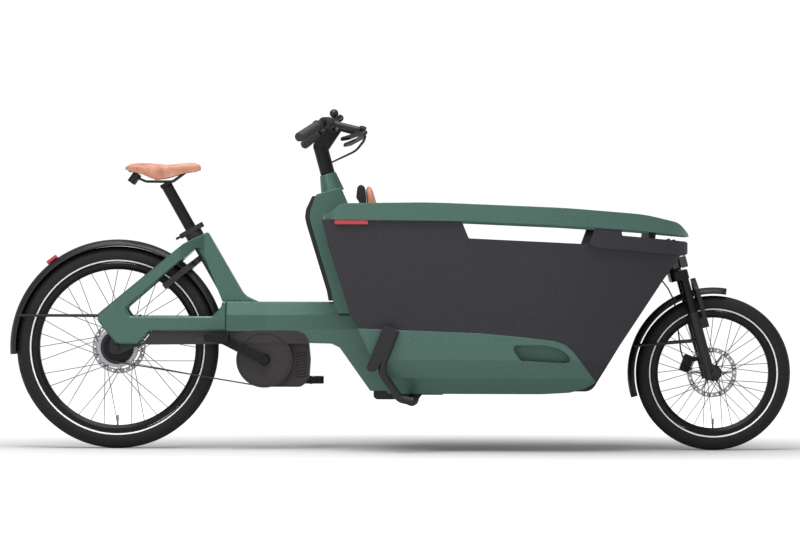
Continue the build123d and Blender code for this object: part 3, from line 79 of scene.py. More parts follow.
def add_node(tree, kind, props=None, **inputs):
    """Adds one node: props are its settings, inputs its socket values or the sockets linked to them."""
    node = tree.nodes.new(kind)
    for key, value in (props or {}).items():
        setattr(node, key, value)
    for key, value in inputs.items():
        socket = node.inputs[int(key[1:])] if key[1:].isdigit() else node.inputs[key.replace("_", " ")]
        if isinstance(value, bpy.types.NodeSocket):
            tree.links.new(value, socket)
        else:
            socket.default_value = value
    return node


def new_finish(name, colour, roughness, **sockets):
    """A material with its Principled shader set; returns the material, its node tree and the shader."""
    material = bpy.data.materials.new(name)
    material.use_nodes = True
    tree = material.node_tree
    shader = tree.nodes["Principled BSDF"]
    shader.inputs["Base Color"].default_value = linear(colour)
    shader.inputs["Roughness"].default_value = roughness
    for key, value in sockets.items():
        shader.inputs[key.replace("_", " ")].default_value = value
    return material, tree, shader


def mottled(tree, shader, low, high, size_mm, detail=3.0, rough_low=None, rough_high=None):
    """Colour that drifts between two shades over a given size, and roughness with it."""
    place = add_node(tree, "ShaderNodeTexCoord").outputs["Object"]
    noise = add_node(tree, "ShaderNodeTexNoise", Vector=place, Scale=1000 / size_mm, Detail=detail)
    ramp = add_node(tree, "ShaderNodeValToRGB", Fac=noise.outputs["Fac"])
    ramp.color_ramp.elements[0].position, ramp.color_ramp.elements[1].position = 0.3, 0.7
    ramp.color_ramp.elements[0].color, ramp.color_ramp.elements[1].color = linear(low), linear(high)
    tree.links.new(ramp.outputs["Color"], shader.inputs["Base Color"])
    if rough_low is not None:
        spread = add_node(tree, "ShaderNodeMapRange", Value=noise.outputs["Fac"], To_Min=rough_low,
                          To_Max=rough_high, From_Min=0.3, From_Max=0.7)
        tree.links.new(spread.outputs["Result"], shader.inputs["Roughness"])


# %% [markdown]
# The frame is welded aluminium under a green powder coat with fine metal flake.
# Powder flows out with a slight orange peel, and its flake gives soft, wide highlights.
# The flake is too fine to show, so it is drawn at 3 mm as a faint unevenness. Paint also gathers on edges,
# so a bevel node rounds them by a few millimetres, which lets each edge catch a thin line of light.

# %% Green powder coat and the matching moulded panels
# powder coat: a soft, wide shine with faint metal flake, and bright edges
powder_coat, tree, shader = new_finish("green_powder_coat", "#44695A", 0.36, Metallic=0.55,
                                       Coat_Weight=0.12, Coat_Roughness=0.3)
mottled(tree, shader, "#3A584D", "#456359", 3.0, 2.0, 0.33, 0.40)
place = add_node(tree, "ShaderNodeTexCoord").outputs["Object"]
peel = add_node(tree, "ShaderNodeTexNoise", Vector=place, Scale=1000 / 1.6, Detail=1.0)
soft_edge = add_node(tree, "ShaderNodeBevel", {"samples": 4}, Radius=0.005)
bump = add_node(tree, "ShaderNodeBump", Normal=soft_edge.outputs["Normal"], Height=peel.outputs["Fac"],
                Distance=0.00002, Strength=0.35)
tree.links.new(bump.outputs["Normal"], shader.inputs["Normal"])

# painted ABS of the rim and skirts: the same green, a little flatter, over a fine moulded grain
green_abs, tree, shader = new_finish("painted_abs_green", "#456A5B", 0.42, Metallic=0.45)
mottled(tree, shader, "#3B594E", "#46645A", 5.0, 2.0, 0.39, 0.46)
place = add_node(tree, "ShaderNodeTexCoord").outputs["Object"]
grain = add_node(tree, "ShaderNodeTexNoise", Vector=place, Scale=1000 / 1.2, Detail=2.0)
soft_edge = add_node(tree, "ShaderNodeBevel", {"samples": 4}, Radius=0.004)
bump = add_node(tree, "ShaderNodeBump", Normal=soft_edge.outputs["Normal"], Height=grain.outputs["Fac"],
                Distance=0.00003, Strength=0.4)
tree.links.new(bump.outputs["Normal"], shader.inputs["Normal"])
print("finishes", powder_coat.name, green_abs.name)

# %% [markdown]
# The walls of the box are expanded polypropylene: beads steamed together in a textured mould.
# The beads leave shallow cells, and the mould adds a fine grain over them. The foam has no shine, so
# the walls read as a dark, dry, slightly speckled grey. Cells are drawn at 6 mm so that they show.

# %% Bead foam of the walls
bead_foam, tree, shader = new_finish("expanded_polypropylene", "#343236", 0.72, Specular_IOR_Level=0.3)
place = add_node(tree, "ShaderNodeTexCoord").outputs["Object"]
cells = add_node(tree, "ShaderNodeTexVoronoi", {"feature": "DISTANCE_TO_EDGE"}, Vector=place,
                 Scale=1000 / 6.0)
grit = add_node(tree, "ShaderNodeTexNoise", Vector=place, Scale=1000 / 2.2, Detail=4.0, Roughness=0.7)
both = add_node(tree, "ShaderNodeMath", {"operation": "MULTIPLY_ADD"}, _0=cells.outputs["Distance"], _1=1.6,
                _2=grit.outputs["Fac"])
shade = add_node(tree, "ShaderNodeValToRGB", Fac=grit.outputs["Fac"])
shade.color_ramp.elements[0].position, shade.color_ramp.elements[1].position = 0.32, 0.72
shade.color_ramp.elements[0].color = linear("#1C1B1F")
shade.color_ramp.elements[1].color = linear("#343238")
tree.links.new(shade.outputs["Color"], shader.inputs["Base Color"])
bump = add_node(tree, "ShaderNodeBump", Height=both.outputs["Value"], Distance=0.0005, Strength=0.7)
tree.links.new(bump.outputs["Normal"], shader.inputs["Normal"])
print("finish", bead_foam.name)

# %% [markdown]
# The other hard pieces come in a few families: black powder coat on steel, black anodised alloy,
# bare brushed steel, glass-filled nylon for the motor, and moulded polypropylene for the fenders.
# They differ mostly in how rough and how metallic they are, so one recipe makes them all. Black plastics
# and powder get a lower specular level, because their dusty surfaces return less light than a clean one.

# %% Plain metals and plastics
def hard_finish(name, low, high, rough_low, rough_high, size_mm, bump_mm, **sockets):
    """A mottled colour and roughness, with a fine grain of the given size and depth."""
    material, tree, shader = new_finish(name, low, rough_low, **sockets)
    mottled(tree, shader, low, high, size_mm * 6, 3.0, rough_low, rough_high)
    place = add_node(tree, "ShaderNodeTexCoord").outputs["Object"]
    grain = add_node(tree, "ShaderNodeTexNoise", Vector=place, Scale=1000 / size_mm, Detail=3.0)
    bump = add_node(tree, "ShaderNodeBump", Height=grain.outputs["Fac"], Distance=bump_mm / 1000,
                    Strength=0.5)
    tree.links.new(bump.outputs["Normal"], shader.inputs["Normal"])
    return material


# powder coat on steel: near black, with a dull, even shine
black_powder = hard_finish("black_powder_coat", "#101113", "#18191B", 0.42, 0.52, 1.5, 0.03,
                           Specular_IOR_Level=0.35)
# anodised alloy: a satin grey-black that catches a narrow line of light on round bars
anodised = hard_finish("black_anodised_aluminium", "#161618", "#222225", 0.34, 0.46, 1.0, 0.01,
                       Metallic=0.8)
# bare stainless steel: the brightest metal, with a fine brushed spread
brushed = hard_finish("brushed_stainless_steel", "#8E8F90", "#A5A6A7", 0.28, 0.38, 0.8, 0.01, Metallic=1.0)
# blackened stainless steel: thin dark lines with a faint glint
dark_spoke = hard_finish("black_stainless_spoke", "#1C1C1E", "#2A2A2C", 0.30, 0.36, 2.0, 0.005,
                         Metallic=0.9)
# nylon with glass fibre, moulded: a warm charcoal, dry and slightly grainy
nylon = hard_finish("glass_filled_nylon", "#221E21", "#2F2A2D", 0.46, 0.58, 1.2, 0.05,
                    Specular_IOR_Level=0.35)
# moulded polypropylene: a plain black with a low plastic shine
moulded = hard_finish("moulded_polypropylene", "#0D0E10", "#151618", 0.40, 0.52, 1.4, 0.03,
                      Specular_IOR_Level=0.35)
# moulded rubber: black without a clear highlight
rubber = hard_finish("moulded_rubber", "#151414", "#1F1E1D", 0.62, 0.75, 1.0, 0.05)
# polyurethane: as black as rubber and a little smoother
belt_rubber = hard_finish("polyurethane_belt", "#151515", "#1D1D1D", 0.50, 0.60, 2.0, 0.02)
print("hard finishes", len(bpy.data.materials))

# %% [markdown]
# The saddle is smooth tan leather, and the pads in the box are a tan leather cloth.
# Leather shows a fine cell pattern, deeper in the dyed valleys, and fades a little on its crowns.

# %% Tan leather
def leather(name, low, high, cell_mm):
    """Voronoi cells for the grain, darker between them, with slow drifts of colour."""
    material, tree, shader = new_finish(name, high, 0.5, Sheen_Weight=0.08)
    place = add_node(tree, "ShaderNodeTexCoord").outputs["Object"]
    cells = add_node(tree, "ShaderNodeTexVoronoi", {"feature": "DISTANCE_TO_EDGE"}, Vector=place,
                     Scale=1000 / cell_mm)
    drift = add_node(tree, "ShaderNodeTexNoise", Vector=place, Scale=1000 / 40.0, Detail=4.0)
    mixed = add_node(tree, "ShaderNodeMath", {"operation": "MULTIPLY_ADD"}, _0=cells.outputs["Distance"],
                     _1=0.7, _2=drift.outputs["Fac"])
    ramp = add_node(tree, "ShaderNodeValToRGB", Fac=mixed.outputs["Value"])
    ramp.color_ramp.elements[0].position, ramp.color_ramp.elements[1].position = 0.35, 0.85
    ramp.color_ramp.elements[0].color, ramp.color_ramp.elements[1].color = linear(low), linear(high)
    tree.links.new(ramp.outputs["Color"], shader.inputs["Base Color"])
    bump = add_node(tree, "ShaderNodeBump", Height=cells.outputs["Distance"], Distance=0.00025,
                    Strength=0.6)
    tree.links.new(bump.outputs["Normal"], shader.inputs["Normal"])
    return material


saddle_leather = leather("tan_saddle_leather", "#8A5A45", "#B87F68", 1.6)
pad_leather = leather("tan_leather_cloth", "#8C5943", "#B2755B", 2.2)
print("leathers", saddle_leather.name, pad_leather.name)

# %% [markdown]
# Lamps: a red polycarbonate lens, moulded with upright ribs 4 mm apart that break up its gloss, and a
# front housing of polished black ABS, the glossiest black on the bicycle.

# %% Lenses
red_lens, tree, shader = new_finish("red_polycarbonate", "#A01824", 0.18, Coat_Weight=0.6)
place = add_node(tree, "ShaderNodeTexCoord").outputs["Object"]
rib_spacing_mm = 4.0
ribs = add_node(tree, "ShaderNodeTexWave", {"bands_direction": "X"}, Vector=place,
                Scale=1000 / rib_spacing_mm / 6.28)
bump = add_node(tree, "ShaderNodeBump", Height=ribs.outputs["Fac"], Distance=0.0004, Strength=0.5)
tree.links.new(bump.outputs["Normal"], shader.inputs["Normal"])
gloss_black = hard_finish("gloss_black_abs", "#0D0D0F", "#141416", 0.12, 0.2, 3.0, 0.005, Coat_Weight=0.5)
print("lenses", red_lens.name, gloss_black.name)

# %% [markdown]
# A hub and its brake disc are one engineering piece, but the disc is bare steel. A mask of the distance
# from the axle gives the steel to everything beyond the hub's shell.

# %% Hubs with steel discs
def disc_finish(name, node, shell_radius):
    """Steel where sqrt((x - cx)^2 + (z - cz)^2) is more than the shell's radius, black inside it."""
    material, tree, shader = new_finish(name, "#202023", 0.4, Metallic=0.85)
    low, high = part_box(node)
    place = add_node(tree, "ShaderNodeTexCoord").outputs["Object"]
    flat = add_node(tree, "ShaderNodeVectorMath", {"operation": "MULTIPLY"}, _0=place, _1=(1.0, 0.0, 1.0))
    reach = add_node(tree, "ShaderNodeVectorMath", {"operation": "DISTANCE"}, _0=flat.outputs["Vector"],
                     _1=((low[0] + high[0]) / 2, 0.0, (low[2] + high[2]) / 2))
    steel = add_node(tree, "ShaderNodeMapRange", Value=reach.outputs["Value"], From_Min=shell_radius,
                     From_Max=shell_radius + 0.0005)
    shade = add_node(tree, "ShaderNodeValToRGB", Fac=steel.outputs["Result"])
    shade.color_ramp.elements[0].color = linear("#202023")
    shade.color_ramp.elements[1].color = linear("#9FA0A3")
    tree.links.new(shade.outputs["Color"], shader.inputs["Base Color"])
    return material


rear_disc = disc_finish("hub_with_steel_disc_rear", "rear_rim", 0.056)
front_disc = disc_finish("hub_with_steel_disc_front", "front_rim", 0.034)
print("discs", rear_disc.name, front_disc.name)

# %% [markdown]
# The pieces whose shape is already right only need a finish. Each finish lists the nodes that wear it.

# %% Give every engineering node its finish
finish_of = {
    powder_coat: "main_beam seat_tube rear_stays tower_shell",
    green_abs: "box_rim skirts",
    bead_foam: "box_sides box_end_panels front_bumper box_floor",
    black_powder: "floor_frame stand stand_bracket rear_axle seat_clamp lock_shackle fork_lowers",
    rear_disc: "rear_hub",
    front_disc: "front_hub",
    anodised: "fork_crown front_rim rear_rim crank_arms seatpost steering_column handlebar"
              " pedal_right pedal_left front_pulley rear_pulley brake_lever_right brake_lever_left"
              " front_caliper rear_caliper",
    dark_spoke: "front_spokes rear_spokes",
    brushed: "steering_bearings",
    nylon: "motor_unit belt_guard",
    moulded: "bench_base bench_lid battery rear_fender front_fender tower_rear_cover bar_controls ring_lock"
             " saddle_chassis",
    rubber: "grips twist_shifter bar_hoses front_hose front_tyre rear_tyre",
    belt_rubber: "drive_belt",
    saddle_leather: "saddle_cover",
    pad_leather: "seat_cushion backrest_cushions",
    red_lens: "red_lamps",
    gloss_black: "headlight"}
for finish, names in finish_of.items():
    for name in names.split():
        nodes[name].data.materials.clear()
        nodes[name].data.materials.append(finish)
print("dressed", sum(len(names.split()) for names in finish_of.values()))

# %% [markdown]
# Every new piece is a surface on a grid of two parameters. One function turns a grid of points into
# a mesh: it joins the ends of a direction that closes on itself, and caps the ends of one that doesn't.

# %% From a grid of points to a piece
def grid_piece(name, points, body, finish, stands_for=(), close_u=False, close_v=True, bands=None,
               extra=None, smooth_angle=40):
    """points[u, v] are places in metres; quads join neighbours, and open u ends get one flat cap each.
    bands maps a v row to the second finish."""
    nu, nv = points.shape[:2]
    iu = np.arange(nu if close_u else nu - 1)
    iv = np.arange(nv if close_v else nv - 1)
    a, b = np.meshgrid(iu, iv, indexing="ij")
    a2, b2 = (a + 1) % nu, (b + 1) % nv
    quads = np.stack([a * nv + b, a * nv + b2, a2 * nv + b2, a2 * nv + b], -1).reshape(-1, 4)
    faces = quads.tolist()
    if not close_u and close_v:
        faces += [list(range(nv))[::-1], list(range((nu - 1) * nv, nu * nv))]
    mesh = bpy.data.meshes.new(name)
    mesh.from_pydata(points.reshape(-1, 3).tolist(), [], faces)
    mesh.materials.append(finish)
    if extra:
        mesh.materials.append(extra)
        rows = np.zeros(len(faces), np.int32)
        rows[:len(quads)] = np.isin(b.reshape(-1), bands)
        mesh.polygons.foreach_set("material_index", rows)
    mesh.polygons.foreach_set("use_smooth", np.ones(len(faces), bool))
    mesh.update()
    solid = bpy.data.objects.new(name, mesh)
    bpy.context.scene.collection.objects.link(solid)
    facing_out(mesh)
    mesh.set_sharp_from_angle(angle=math.radians(smooth_angle))
    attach(solid, body)
    if stands_for:
        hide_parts(*stands_for)
    return solid


def facing_out(mesh):
    """Turns a closed mesh right side out: its signed volume, the sum of p0 . (p1 x p2) / 6 over the
    triangles, has to be positive."""
    mesh.calc_loop_triangles()
    corners = np.zeros(len(mesh.loop_triangles) * 3, np.int32)
    mesh.loop_triangles.foreach_get("vertices", corners)
    place = np.zeros(len(mesh.vertices) * 3)
    mesh.vertices.foreach_get("co", place)
    p = place.reshape(-1, 3)[corners.reshape(-1, 3)]
    if np.einsum("ij,ij->i", p[:, 0], np.cross(p[:, 1], p[:, 2])).sum() < 0:
        mesh.flip_normals()


# %% [markdown]
# A bicycle tyre is a ring whose section is nearly a circle, open towards the rim.
# Here the section runs round the outside and back along the inside, so the ring is closed.
# The tread is cut by lowering the surface in slanted grooves, and the pale reflective line is a band of
# the same rubber ring given a second finish.

# %% Tyres
# reflective tape: a matt off-white line
stripe_white, tree, shader = new_finish("reflective_stripe", "#E6E7E4", 0.5)
mottled(tree, shader, "#DADBD8", "#ECEDEA", 3.0, 2.0)
# vulcanised rubber: the flattest black, with faint dusty patches
tyre_black, tree, shader = new_finish("vulcanised_rubber", "#1A1A1B", 0.68, Specular_IOR_Level=0.28)
mottled(tree, shader, "#0E0E10", "#18181A", 8.0, 4.0, 0.62, 0.76)
place = add_node(tree, "ShaderNodeTexCoord").outputs["Object"]
grain = add_node(tree, "ShaderNodeTexNoise", Vector=place, Scale=1000 / 1.5, Detail=2.0)
bump = add_node(tree, "ShaderNodeBump", Height=grain.outputs["Fac"], Distance=0.00005, Strength=0.4)
tree.links.new(bump.outputs["Normal"], shader.inputs["Normal"])


def tyre_ring(name, centre, radius, section, stripe_radius, blocks):
    """Outside: r = core + s cos(a), y = s sin(a), for a from -148 to 148 degrees, lowered in the grooves.
    Inside: the same with s less 4 mm, run backwards. Grooves lie where the fraction of
    blocks * t + slant is small, t being the turn round the wheel."""
    s = section / 2
    core = radius - s
    edge = [math.degrees(math.acos((stripe_radius + d - core) / s)) for d in (-0.0022, 0.0022)]
    half = np.unique(np.concatenate([np.linspace(0, 52, 14), np.linspace(58, edge[1] - 4, 7), edge[::-1],
                                     [edge[0] + 5, 148]]))
    a_out = np.radians(np.concatenate([-half[:0:-1], half]))
    a_in = np.radians(np.linspace(144, -144, 13))
    turn = np.linspace(0, 2 * np.pi, blocks * 9, endpoint=False)[:, None]
    beat = (turn * blocks / (2 * np.pi) + 0.55 * np.abs(a_out) / np.radians(52)) % 1.0
    groove = np.clip(1.6 - np.abs(beat - 0.5) / 0.13, 0, 1)
    across = np.clip((np.radians(50) - np.abs(a_out)) / 0.1, 0, 1)
    across = across * np.clip((np.abs(a_out) - 0.1) / 0.06, 0, 1)
    line = np.exp(-((np.abs(a_out) - np.radians(52)) / 0.05) ** 2)
    s_out = s - 0.0013 * groove * across - 0.0006 * line
    r_out, y_out = core + s_out * np.cos(a_out), s_out * np.sin(a_out)
    ones = np.ones_like(turn)
    r = np.concatenate([r_out, ones * (core + (s - 0.004) * np.cos(a_in))], 1)
    y = np.concatenate([y_out, ones * ((s - 0.004) * np.sin(a_in))], 1)
    points = np.stack([centre[0] + r * np.cos(turn), y, centre[1] + r * np.sin(turn)], -1)
    degrees = np.degrees(np.abs(a_out))
    low = np.minimum(degrees[:-1], degrees[1:])
    bands = np.where((low > edge[1] - 0.5) & (low < edge[0] - 0.5))[0]
    body = name.replace("tyre", "wheel")
    return grid_piece(name + "_ring", points, body, tyre_black, (name,), close_u=True,
                      bands=bands, extra=stripe_white)


def middle(node):
    """Centre of a node's box, in metres."""
    low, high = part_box(node)
    return (np.array(low) + np.array(high)) / 2


rear_hub, front_hub = middle("rear_rim")[[0, 2]], middle("front_rim")[[0, 2]]
rear_ring = tyre_ring("rear_tyre", rear_hub, 0.340, 0.060, 0.292, 92)
front_ring = tyre_ring("front_tyre", front_hub, 0.260, 0.056, 0.2145, 72)
print("tyres", len(rear_ring.data.polygons), len(front_ring.data.polygons))


# %% [markdown]
# A fender is a thin shell bent round the wheel. Its section is a flattened arch with short straight
# skirts. The outside and the inside of the section are carried round the wheel together, so the shell has
# a real edge. Thin round stays hold it to the frame.

# %% Rods, and the fenders
def rod_piece(name, path, radius, body, finish, stands_for=(), sides=14):
    """A round bar carried along points: at each point a ring of the given radius, square to the path."""
    p = np.asarray(path, float)
    way = np.gradient(p, axis=0)
    way /= np.linalg.norm(way, axis=1, keepdims=True)
    side = np.cross(way, np.array([0.13, 0.31, 0.94]))
    side /= np.linalg.norm(side, axis=1, keepdims=True)
    up = np.cross(side, way)
    a = np.linspace(0, 2 * np.pi, sides, endpoint=False)
    r = np.broadcast_to(np.asarray(radius, float), (len(p),))[:, None, None]
    spoke = np.cos(a)[None, :, None] * side[:, None] + np.sin(a)[None, :, None] * up[:, None]
    points = p[:, None] + r * spoke
    return grid_piece(name, points, body, finish, stands_for)


def fender_shell(name, centre, radius, half_width, skirt, start, stop, body):
    """Section: y = w sin(a)^0.75 and r = radius - skirt (1 - cos(a))^0.9, for a from -90 to 90 degrees;
    the inside is one wall smaller. Both are turned from the start angle to the stop angle, and the ends
    are rounded by drawing the width in over the last 3 degrees."""
    wall = 0.0024
    a = np.radians(np.linspace(-90, 90, 33))
    y = half_width * np.sign(np.sin(a)) * np.abs(np.sin(a)) ** 0.75
    r = radius - skirt * (1 - np.cos(a)) ** 0.9
    y_in = (half_width - wall) * np.sign(np.sin(a)) * np.abs(np.sin(a)) ** 0.75
    r_in = np.maximum(radius - wall - skirt * (1 - np.cos(a)) ** 0.9, radius - skirt)
    y_all, r_all = np.concatenate([y, y_in[::-1]]), np.concatenate([r, r_in[::-1]])
    t = np.radians(np.linspace(start, stop, 140))[:, None]
    end = np.minimum(np.degrees(t) - start, stop - np.degrees(t)) / 3.0
    narrow = np.sqrt(np.clip(1 - (1 - np.clip(end, 0, 1)) ** 2, 0.35, 1))
    points = np.stack([centre[0] + r_all * np.cos(t), y_all * narrow, centre[1] + r_all * np.sin(t)], -1)
    return grid_piece(name + "_shell", points, body, moulded, (name,))


rear_shell = fender_shell("rear_fender", rear_hub, 0.363, 0.037, 0.022, 15, 184, "frame")
front_shell = fender_shell("front_fender", front_hub, 0.288, 0.033, 0.022, 81, 197, "fork_lower")
for side in (-1, 1):
    word = "right" if side < 0 else "left"
    rear_path = [(rear_hub[0] - 0.336, side * 0.0385, 0.446), (rear_hub[0] - 0.2, side * 0.055, 0.446),
                 (rear_hub[0] - 0.0635, side * 0.0735, 0.446)]
    rod_piece(f"rear_fender_stay_{word}", rear_path, 0.0042, "frame", black_powder,
              ("rear_fender",))
    front_path = [(front_hub[0] - 0.268, side * 0.0345, 0.350), (front_hub[0] - 0.16, side * 0.044, 0.36),
                  (front_hub[0] - 0.0645, side * 0.054, 0.368)]
    rod_piece(f"front_fender_stay_{word}", front_path, 0.0048, "fork_lower", black_powder,
              ("front_fender",))
print("fenders", len(rear_shell.data.polygons), len(front_shell.data.polygons))

# %% [markdown]
# Each tyre's valve stands inwards from the rim at the lowest point: a thin stem and a wider cap.

# %% Tyre valves
for word, hub, reach in (("rear", rear_hub, 0.262), ("front", front_hub, 0.188)):
    rod_piece(word + "_valve", [(hub[0], 0, hub[1] - reach), (hub[0], 0, hub[1] - reach + 0.014),
                                (hub[0], 0, hub[1] - reach + 0.016), (hub[0], 0, hub[1] - reach + 0.034)],
              (0.0030, 0.0030, 0.0042, 0.0042), word + "_wheel", brushed)
print("valves made")

# %% [markdown]
# The saddle is a padded shell: broad at the back, a narrow nose, and a skirt that hangs lowest
# under the middle. Its outline, top line and skirt line are short lists of stations, blended smoothly.

# %% Saddle
def smooth_line(x, xs, ys, width=9):
    """Straight lines through the stations, then averaged over a few neighbours to round the corners."""
    y = np.interp(x, xs, ys)
    kernel = np.hanning(width + 2)[1:-1]
    padded_y = np.pad(y, width // 2, mode="edge")
    return np.convolve(padded_y, kernel / kernel.sum(), mode="valid")


low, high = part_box("saddle_cover")
start_x, length = low[0] + 0.001, high[0] - low[0] - 0.002
u = np.concatenate([[0.002, 0.008, 0.02, 0.035], np.linspace(0.055, 0.945, 70),
                    [0.965, 0.98, 0.992, 0.998]])
width = smooth_line(u, [0, 0.02, 0.06, 0.2, 0.3, 0.42, 0.6, 0.8, 0.93, 0.985, 1],
                    np.array([30, 54, 72, 87, 84, 64, 33, 25, 23, 17, 9]) / 1000, 5)
top = smooth_line(u, [0, 0.05, 0.15, 0.35, 0.58, 0.85, 0.95, 1],
                  np.array([944, 956, 961, 962, 957, 963, 961, 950]) / 1000)
skirt = smooth_line(u, [0, 0.1, 0.25, 0.38, 0.55, 0.8, 0.93, 1],
                    np.array([938, 930, 920, 904, 909, 927, 931, 938]) / 1000)
v = np.linspace(-1, 1, 41)
over = np.pi / 2 * v
y_top = width[:, None] * np.sign(v) * np.abs(np.sin(over)) ** 0.85
fall = np.abs(np.cos(over)) ** 0.42
dip = 0.005 * np.exp(-(v / 0.22) ** 2) * np.exp(-((u - 0.45) / 0.3) ** 2)[:, None]
z_top = skirt[:, None] + (top - skirt)[:, None] * fall - dip
w = np.linspace(0.93, -0.93, 15)
y_under = width[:, None] * w
z_under = skirt[:, None] + 0.004 + (top - skirt)[:, None] * 0.45 * (1 - w ** 4)
y_all, z_all = np.concatenate([y_top, y_under], 1), np.concatenate([z_top, z_under], 1)
x_all = np.broadcast_to((start_x + length * u)[:, None], y_all.shape)
saddle = grid_piece("saddle_shell", np.stack([x_all, y_all, z_all], -1), "saddle", saddle_leather,
                    ("saddle_cover",), smooth_angle=60)
print("saddle", len(saddle.data.polygons))

# %% [markdown]
# The pads in the box are foam in leather cloth. A pad is fullest in its middle and is drawn in at its
# edges, and sewn channels press narrow grooves across it. Each is a closed form: a rounded outline seen
# from the side, scaled down towards the two ends.

# %% Pads
def pad_piece(name, outline, y0, half, channels, node):
    """Rounded outline in x and z, sampled evenly round its length. Across y, with t from -1 to 1, it is
    scaled about its middle by 0.55 + 0.45 (1 - |t|^6)^(1/3), and dented 3 mm in each channel."""
    outline = np.array(outline)
    closed = np.vstack([outline, outline[:1]])
    run = np.concatenate([[0], np.cumsum(np.linalg.norm(np.diff(closed, axis=0), axis=1))])
    s = np.linspace(0, run[-1], 160, endpoint=False)
    ring = np.stack([np.interp(s, run, closed[:, 0]), np.interp(s, run, closed[:, 1])], 1)
    kernel = np.hanning(13)[1:-1]
    kernel /= kernel.sum()
    ring = np.stack([np.convolve(np.concatenate([c[-5:], c, c[:5]]), kernel, "valid") for c in ring.T], 1)
    heart = ring.mean(0)
    t = np.sin(np.linspace(-1, 1, 45) * np.pi / 2)
    scale = np.clip(1 - np.abs(t) ** 6, 0, 1) ** (1 / 3)
    scale = 0.55 + 0.45 * scale
    spread = heart + (ring - heart) * scale[:, None, None]
    away = ring - heart
    away /= np.linalg.norm(away, axis=1, keepdims=True)
    along = ring[:, 1] if np.ptp(ring[:, 1]) > np.ptp(ring[:, 0]) else ring[:, 0]
    dent = sum(np.exp(-((along - c) / 0.005) ** 2) for c in channels) * 0.003
    spread = spread - (away * dent[:, None])[None] * scale[:, None, None]
    y = np.broadcast_to((y0 + half * t)[:, None], spread.shape[:2])
    pad = grid_piece(name, np.stack([spread[..., 0], y, spread[..., 1]], -1), body_of[node], pad_leather,
                     (node,), smooth_angle=60)
    return pad


body_of = {"seat_cushion": "bench_lid", "backrest_cushions": "frame"}
back_line = [(-0.0745, 0.503), (-0.1115, 0.800), (-0.1165, 0.870), (-0.113, 0.886), (-0.098, 0.884),
             (-0.082, 0.830), (-0.068, 0.772), (-0.047, 0.506)]
for side in (-1, 1):
    pad_piece("backrest_pad_" + ("right" if side < 0 else "left"), back_line, side * 0.097, 0.0855,
              (0.60, 0.69, 0.78), "backrest_cushions")
low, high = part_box("seat_cushion")
seat_line = [(low[0] + 0.004, low[2] + 0.0005), (low[0] + 0.001, low[2] + 0.02),
             (low[0] + 0.02, high[2] - 0.002), (high[0] - 0.02, high[2] - 0.002),
             (high[0] - 0.001, low[2] + 0.02), (high[0] - 0.004, low[2] + 0.0005)]
pad_piece("seat_pad", seat_line, 0.0, high[1] - 0.001, (0.02, 0.10, 0.18), "seat_cushion")
print("pads made")

# %% [markdown]
# Grips are turned rubber sleeves with low ribs round them and a flange at the inner end.

# %% Grips
def turned(name, start, end, profile, body, finish, stands_for=(), sides=48, ripple=None):
    """A profile of (distance, radius) turned about the line from start to end. ripple(angle, distance) is
    added to the radius."""
    start, end = np.asarray(start, float), np.asarray(end, float)
    way = (end - start) / np.linalg.norm(end - start)
    side = np.cross(way, (0.1, 0.2, 1.0))
    side /= np.linalg.norm(side)
    up = np.cross(side, way)
    a = np.linspace(0, 2 * np.pi, sides, endpoint=False)
    d, r = np.array(profile, float).T
    r = r[:, None] + (ripple(a[None], d[:, None]) if ripple else 0)
    spoke = np.cos(a)[:, None] * side + np.sin(a)[:, None] * up
    points = start + d[:, None, None] * way + r[..., None] * spoke
    return grid_piece(name, points, body, finish, stands_for)


def sleeve_profile(length, radius, bore, step=0.0012):
    """Outside from one end to the other with small rounded shoulders, then closed on the bar."""
    d = np.arange(0.003, length - 0.003, step)
    return [(0.0, bore), (0.0, radius - 0.0015), (0.001, radius - 0.0004)] + [(x, radius) for x in d] + [
        (length - 0.001, radius - 0.0004), (length, radius - 0.0015), (length, bore)]


for side in (-1, 1):
    word = "right" if side < 0 else "left"
    tip = np.array([-0.333, side * 0.350, 1.037])
    root = np.array([-0.264, side * 0.218, 1.088])
    way = (root - tip) / np.linalg.norm(root - tip)
    ribbed = sleeve_profile(0.130, 0.0156, 0.0108)
    turned(f"grip_{word}", tip, root, ribbed, "steering", rubber, ("grips",),
           ripple=lambda a, d: 0.0004 * np.sign(np.sin(2 * np.pi * d / 0.006))
           * (np.abs(np.sin(a * 3)) > 0.35) * ((d > 0.012) & (d < 0.118)))
    turned(f"grip_flange_{word}", tip + way * 0.126, root, sleeve_profile(0.006, 0.0188, 0.0108),
           "steering", rubber, ("grips",))
    domed = [(0, 0.004), (0.0004, 0.010), (0.0015, 0.0148), (0.0035, 0.0156)]
    turned(f"grip_cap_{word}", tip - way * 0.0035, tip, domed, "steering", rubber, ("grips",))
print("grips made")

# %% [markdown]
# The floor is a pale sheet that glows a little away from the middle, so its edge melts into the walls.
# The room is dim above and white only low down all round, like a studio with lit walls and a dark
# ceiling, so that the blacks stay black and the picture still has a white ground.
# A broad light above and a weak one in front give the wide, gentle highlights.

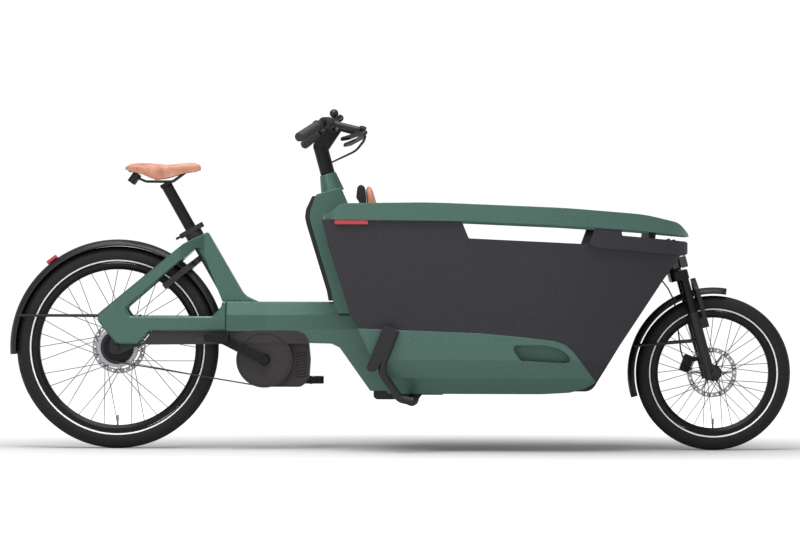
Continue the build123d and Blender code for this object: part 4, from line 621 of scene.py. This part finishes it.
# %% Floor and light
floor_mesh = bpy.data.meshes.new("floor")
floor_mesh.from_pydata([(-6, -4, 0), (6, -4, 0), (6, 5, 0), (-6, 5, 0)], [], [(0, 1, 2, 3)])
floor = bpy.data.objects.new("floor", floor_mesh)
bpy.context.scene.collection.objects.link(floor)
pale, tree, shader = new_finish("pale_floor", "#C9C9C8", 0.8)
place = add_node(tree, "ShaderNodeTexCoord").outputs["Object"]
squashed = add_node(tree, "ShaderNodeVectorMath", {"operation": "MULTIPLY"}, _0=place, _1=(0.5, 1.0, 1.0))
reach = add_node(tree, "ShaderNodeVectorMath", {"operation": "LENGTH"}, _0=squashed.outputs["Vector"])
glow = add_node(tree, "ShaderNodeMapRange", {"interpolation_type": "SMOOTHSTEP"},
                Value=reach.outputs["Value"], From_Min=0.45, From_Max=1.9, To_Max=0.8)
tree.links.new(glow.outputs["Result"], shader.inputs["Emission Strength"])
shader.inputs["Emission Color"].default_value = (1, 1, 1, 1)
floor_mesh.materials.append(pale)
world = bpy.data.worlds.new("room")
bpy.context.scene.world = world
world.use_nodes = True
air = world.node_tree
way = add_node(air, "ShaderNodeTexCoord").outputs["Generated"]
parts = add_node(air, "ShaderNodeSeparateXYZ", Vector=way)
height = add_node(air, "ShaderNodeMath", {"operation": "ABSOLUTE"}, _0=parts.outputs["Z"])
wall_strength, ceiling_strength = 1.05, 0.38
wall = add_node(air, "ShaderNodeMapRange", Value=height.outputs["Value"], From_Min=0.1, From_Max=0.3,
                To_Min=wall_strength, To_Max=ceiling_strength)
air.links.new(wall.outputs["Result"], air.nodes["Background"].inputs["Strength"])
air.nodes["Background"].inputs["Color"].default_value = (1, 1, 1, 1)


def soft_light(name, place, aim, size, power):
    """A square area light at a place, turned towards a point."""
    data = bpy.data.lights.new(name, "AREA")
    data.size, data.energy = size, power
    lamp = bpy.data.objects.new(name, data)
    lamp.location = place
    way = np.array(aim) - np.array(place)
    lamp.rotation_euler = (math.atan2(math.hypot(way[0], way[1]), -way[2]), 0,
                           math.atan2(way[1], way[0]) - math.pi / 2)
    bpy.context.scene.collection.objects.link(lamp)


soft_light("above", (-0.3, -0.9, 3.4), (0, 0, 0.5), 3.0, 190)
soft_light("front", (-2.5, -4.5, 2.6), (0, 0, 0.5), 2.6, 35)
bpy.context.scene.view_settings.view_transform = "Standard"
print("stage", floor.name, world.name)
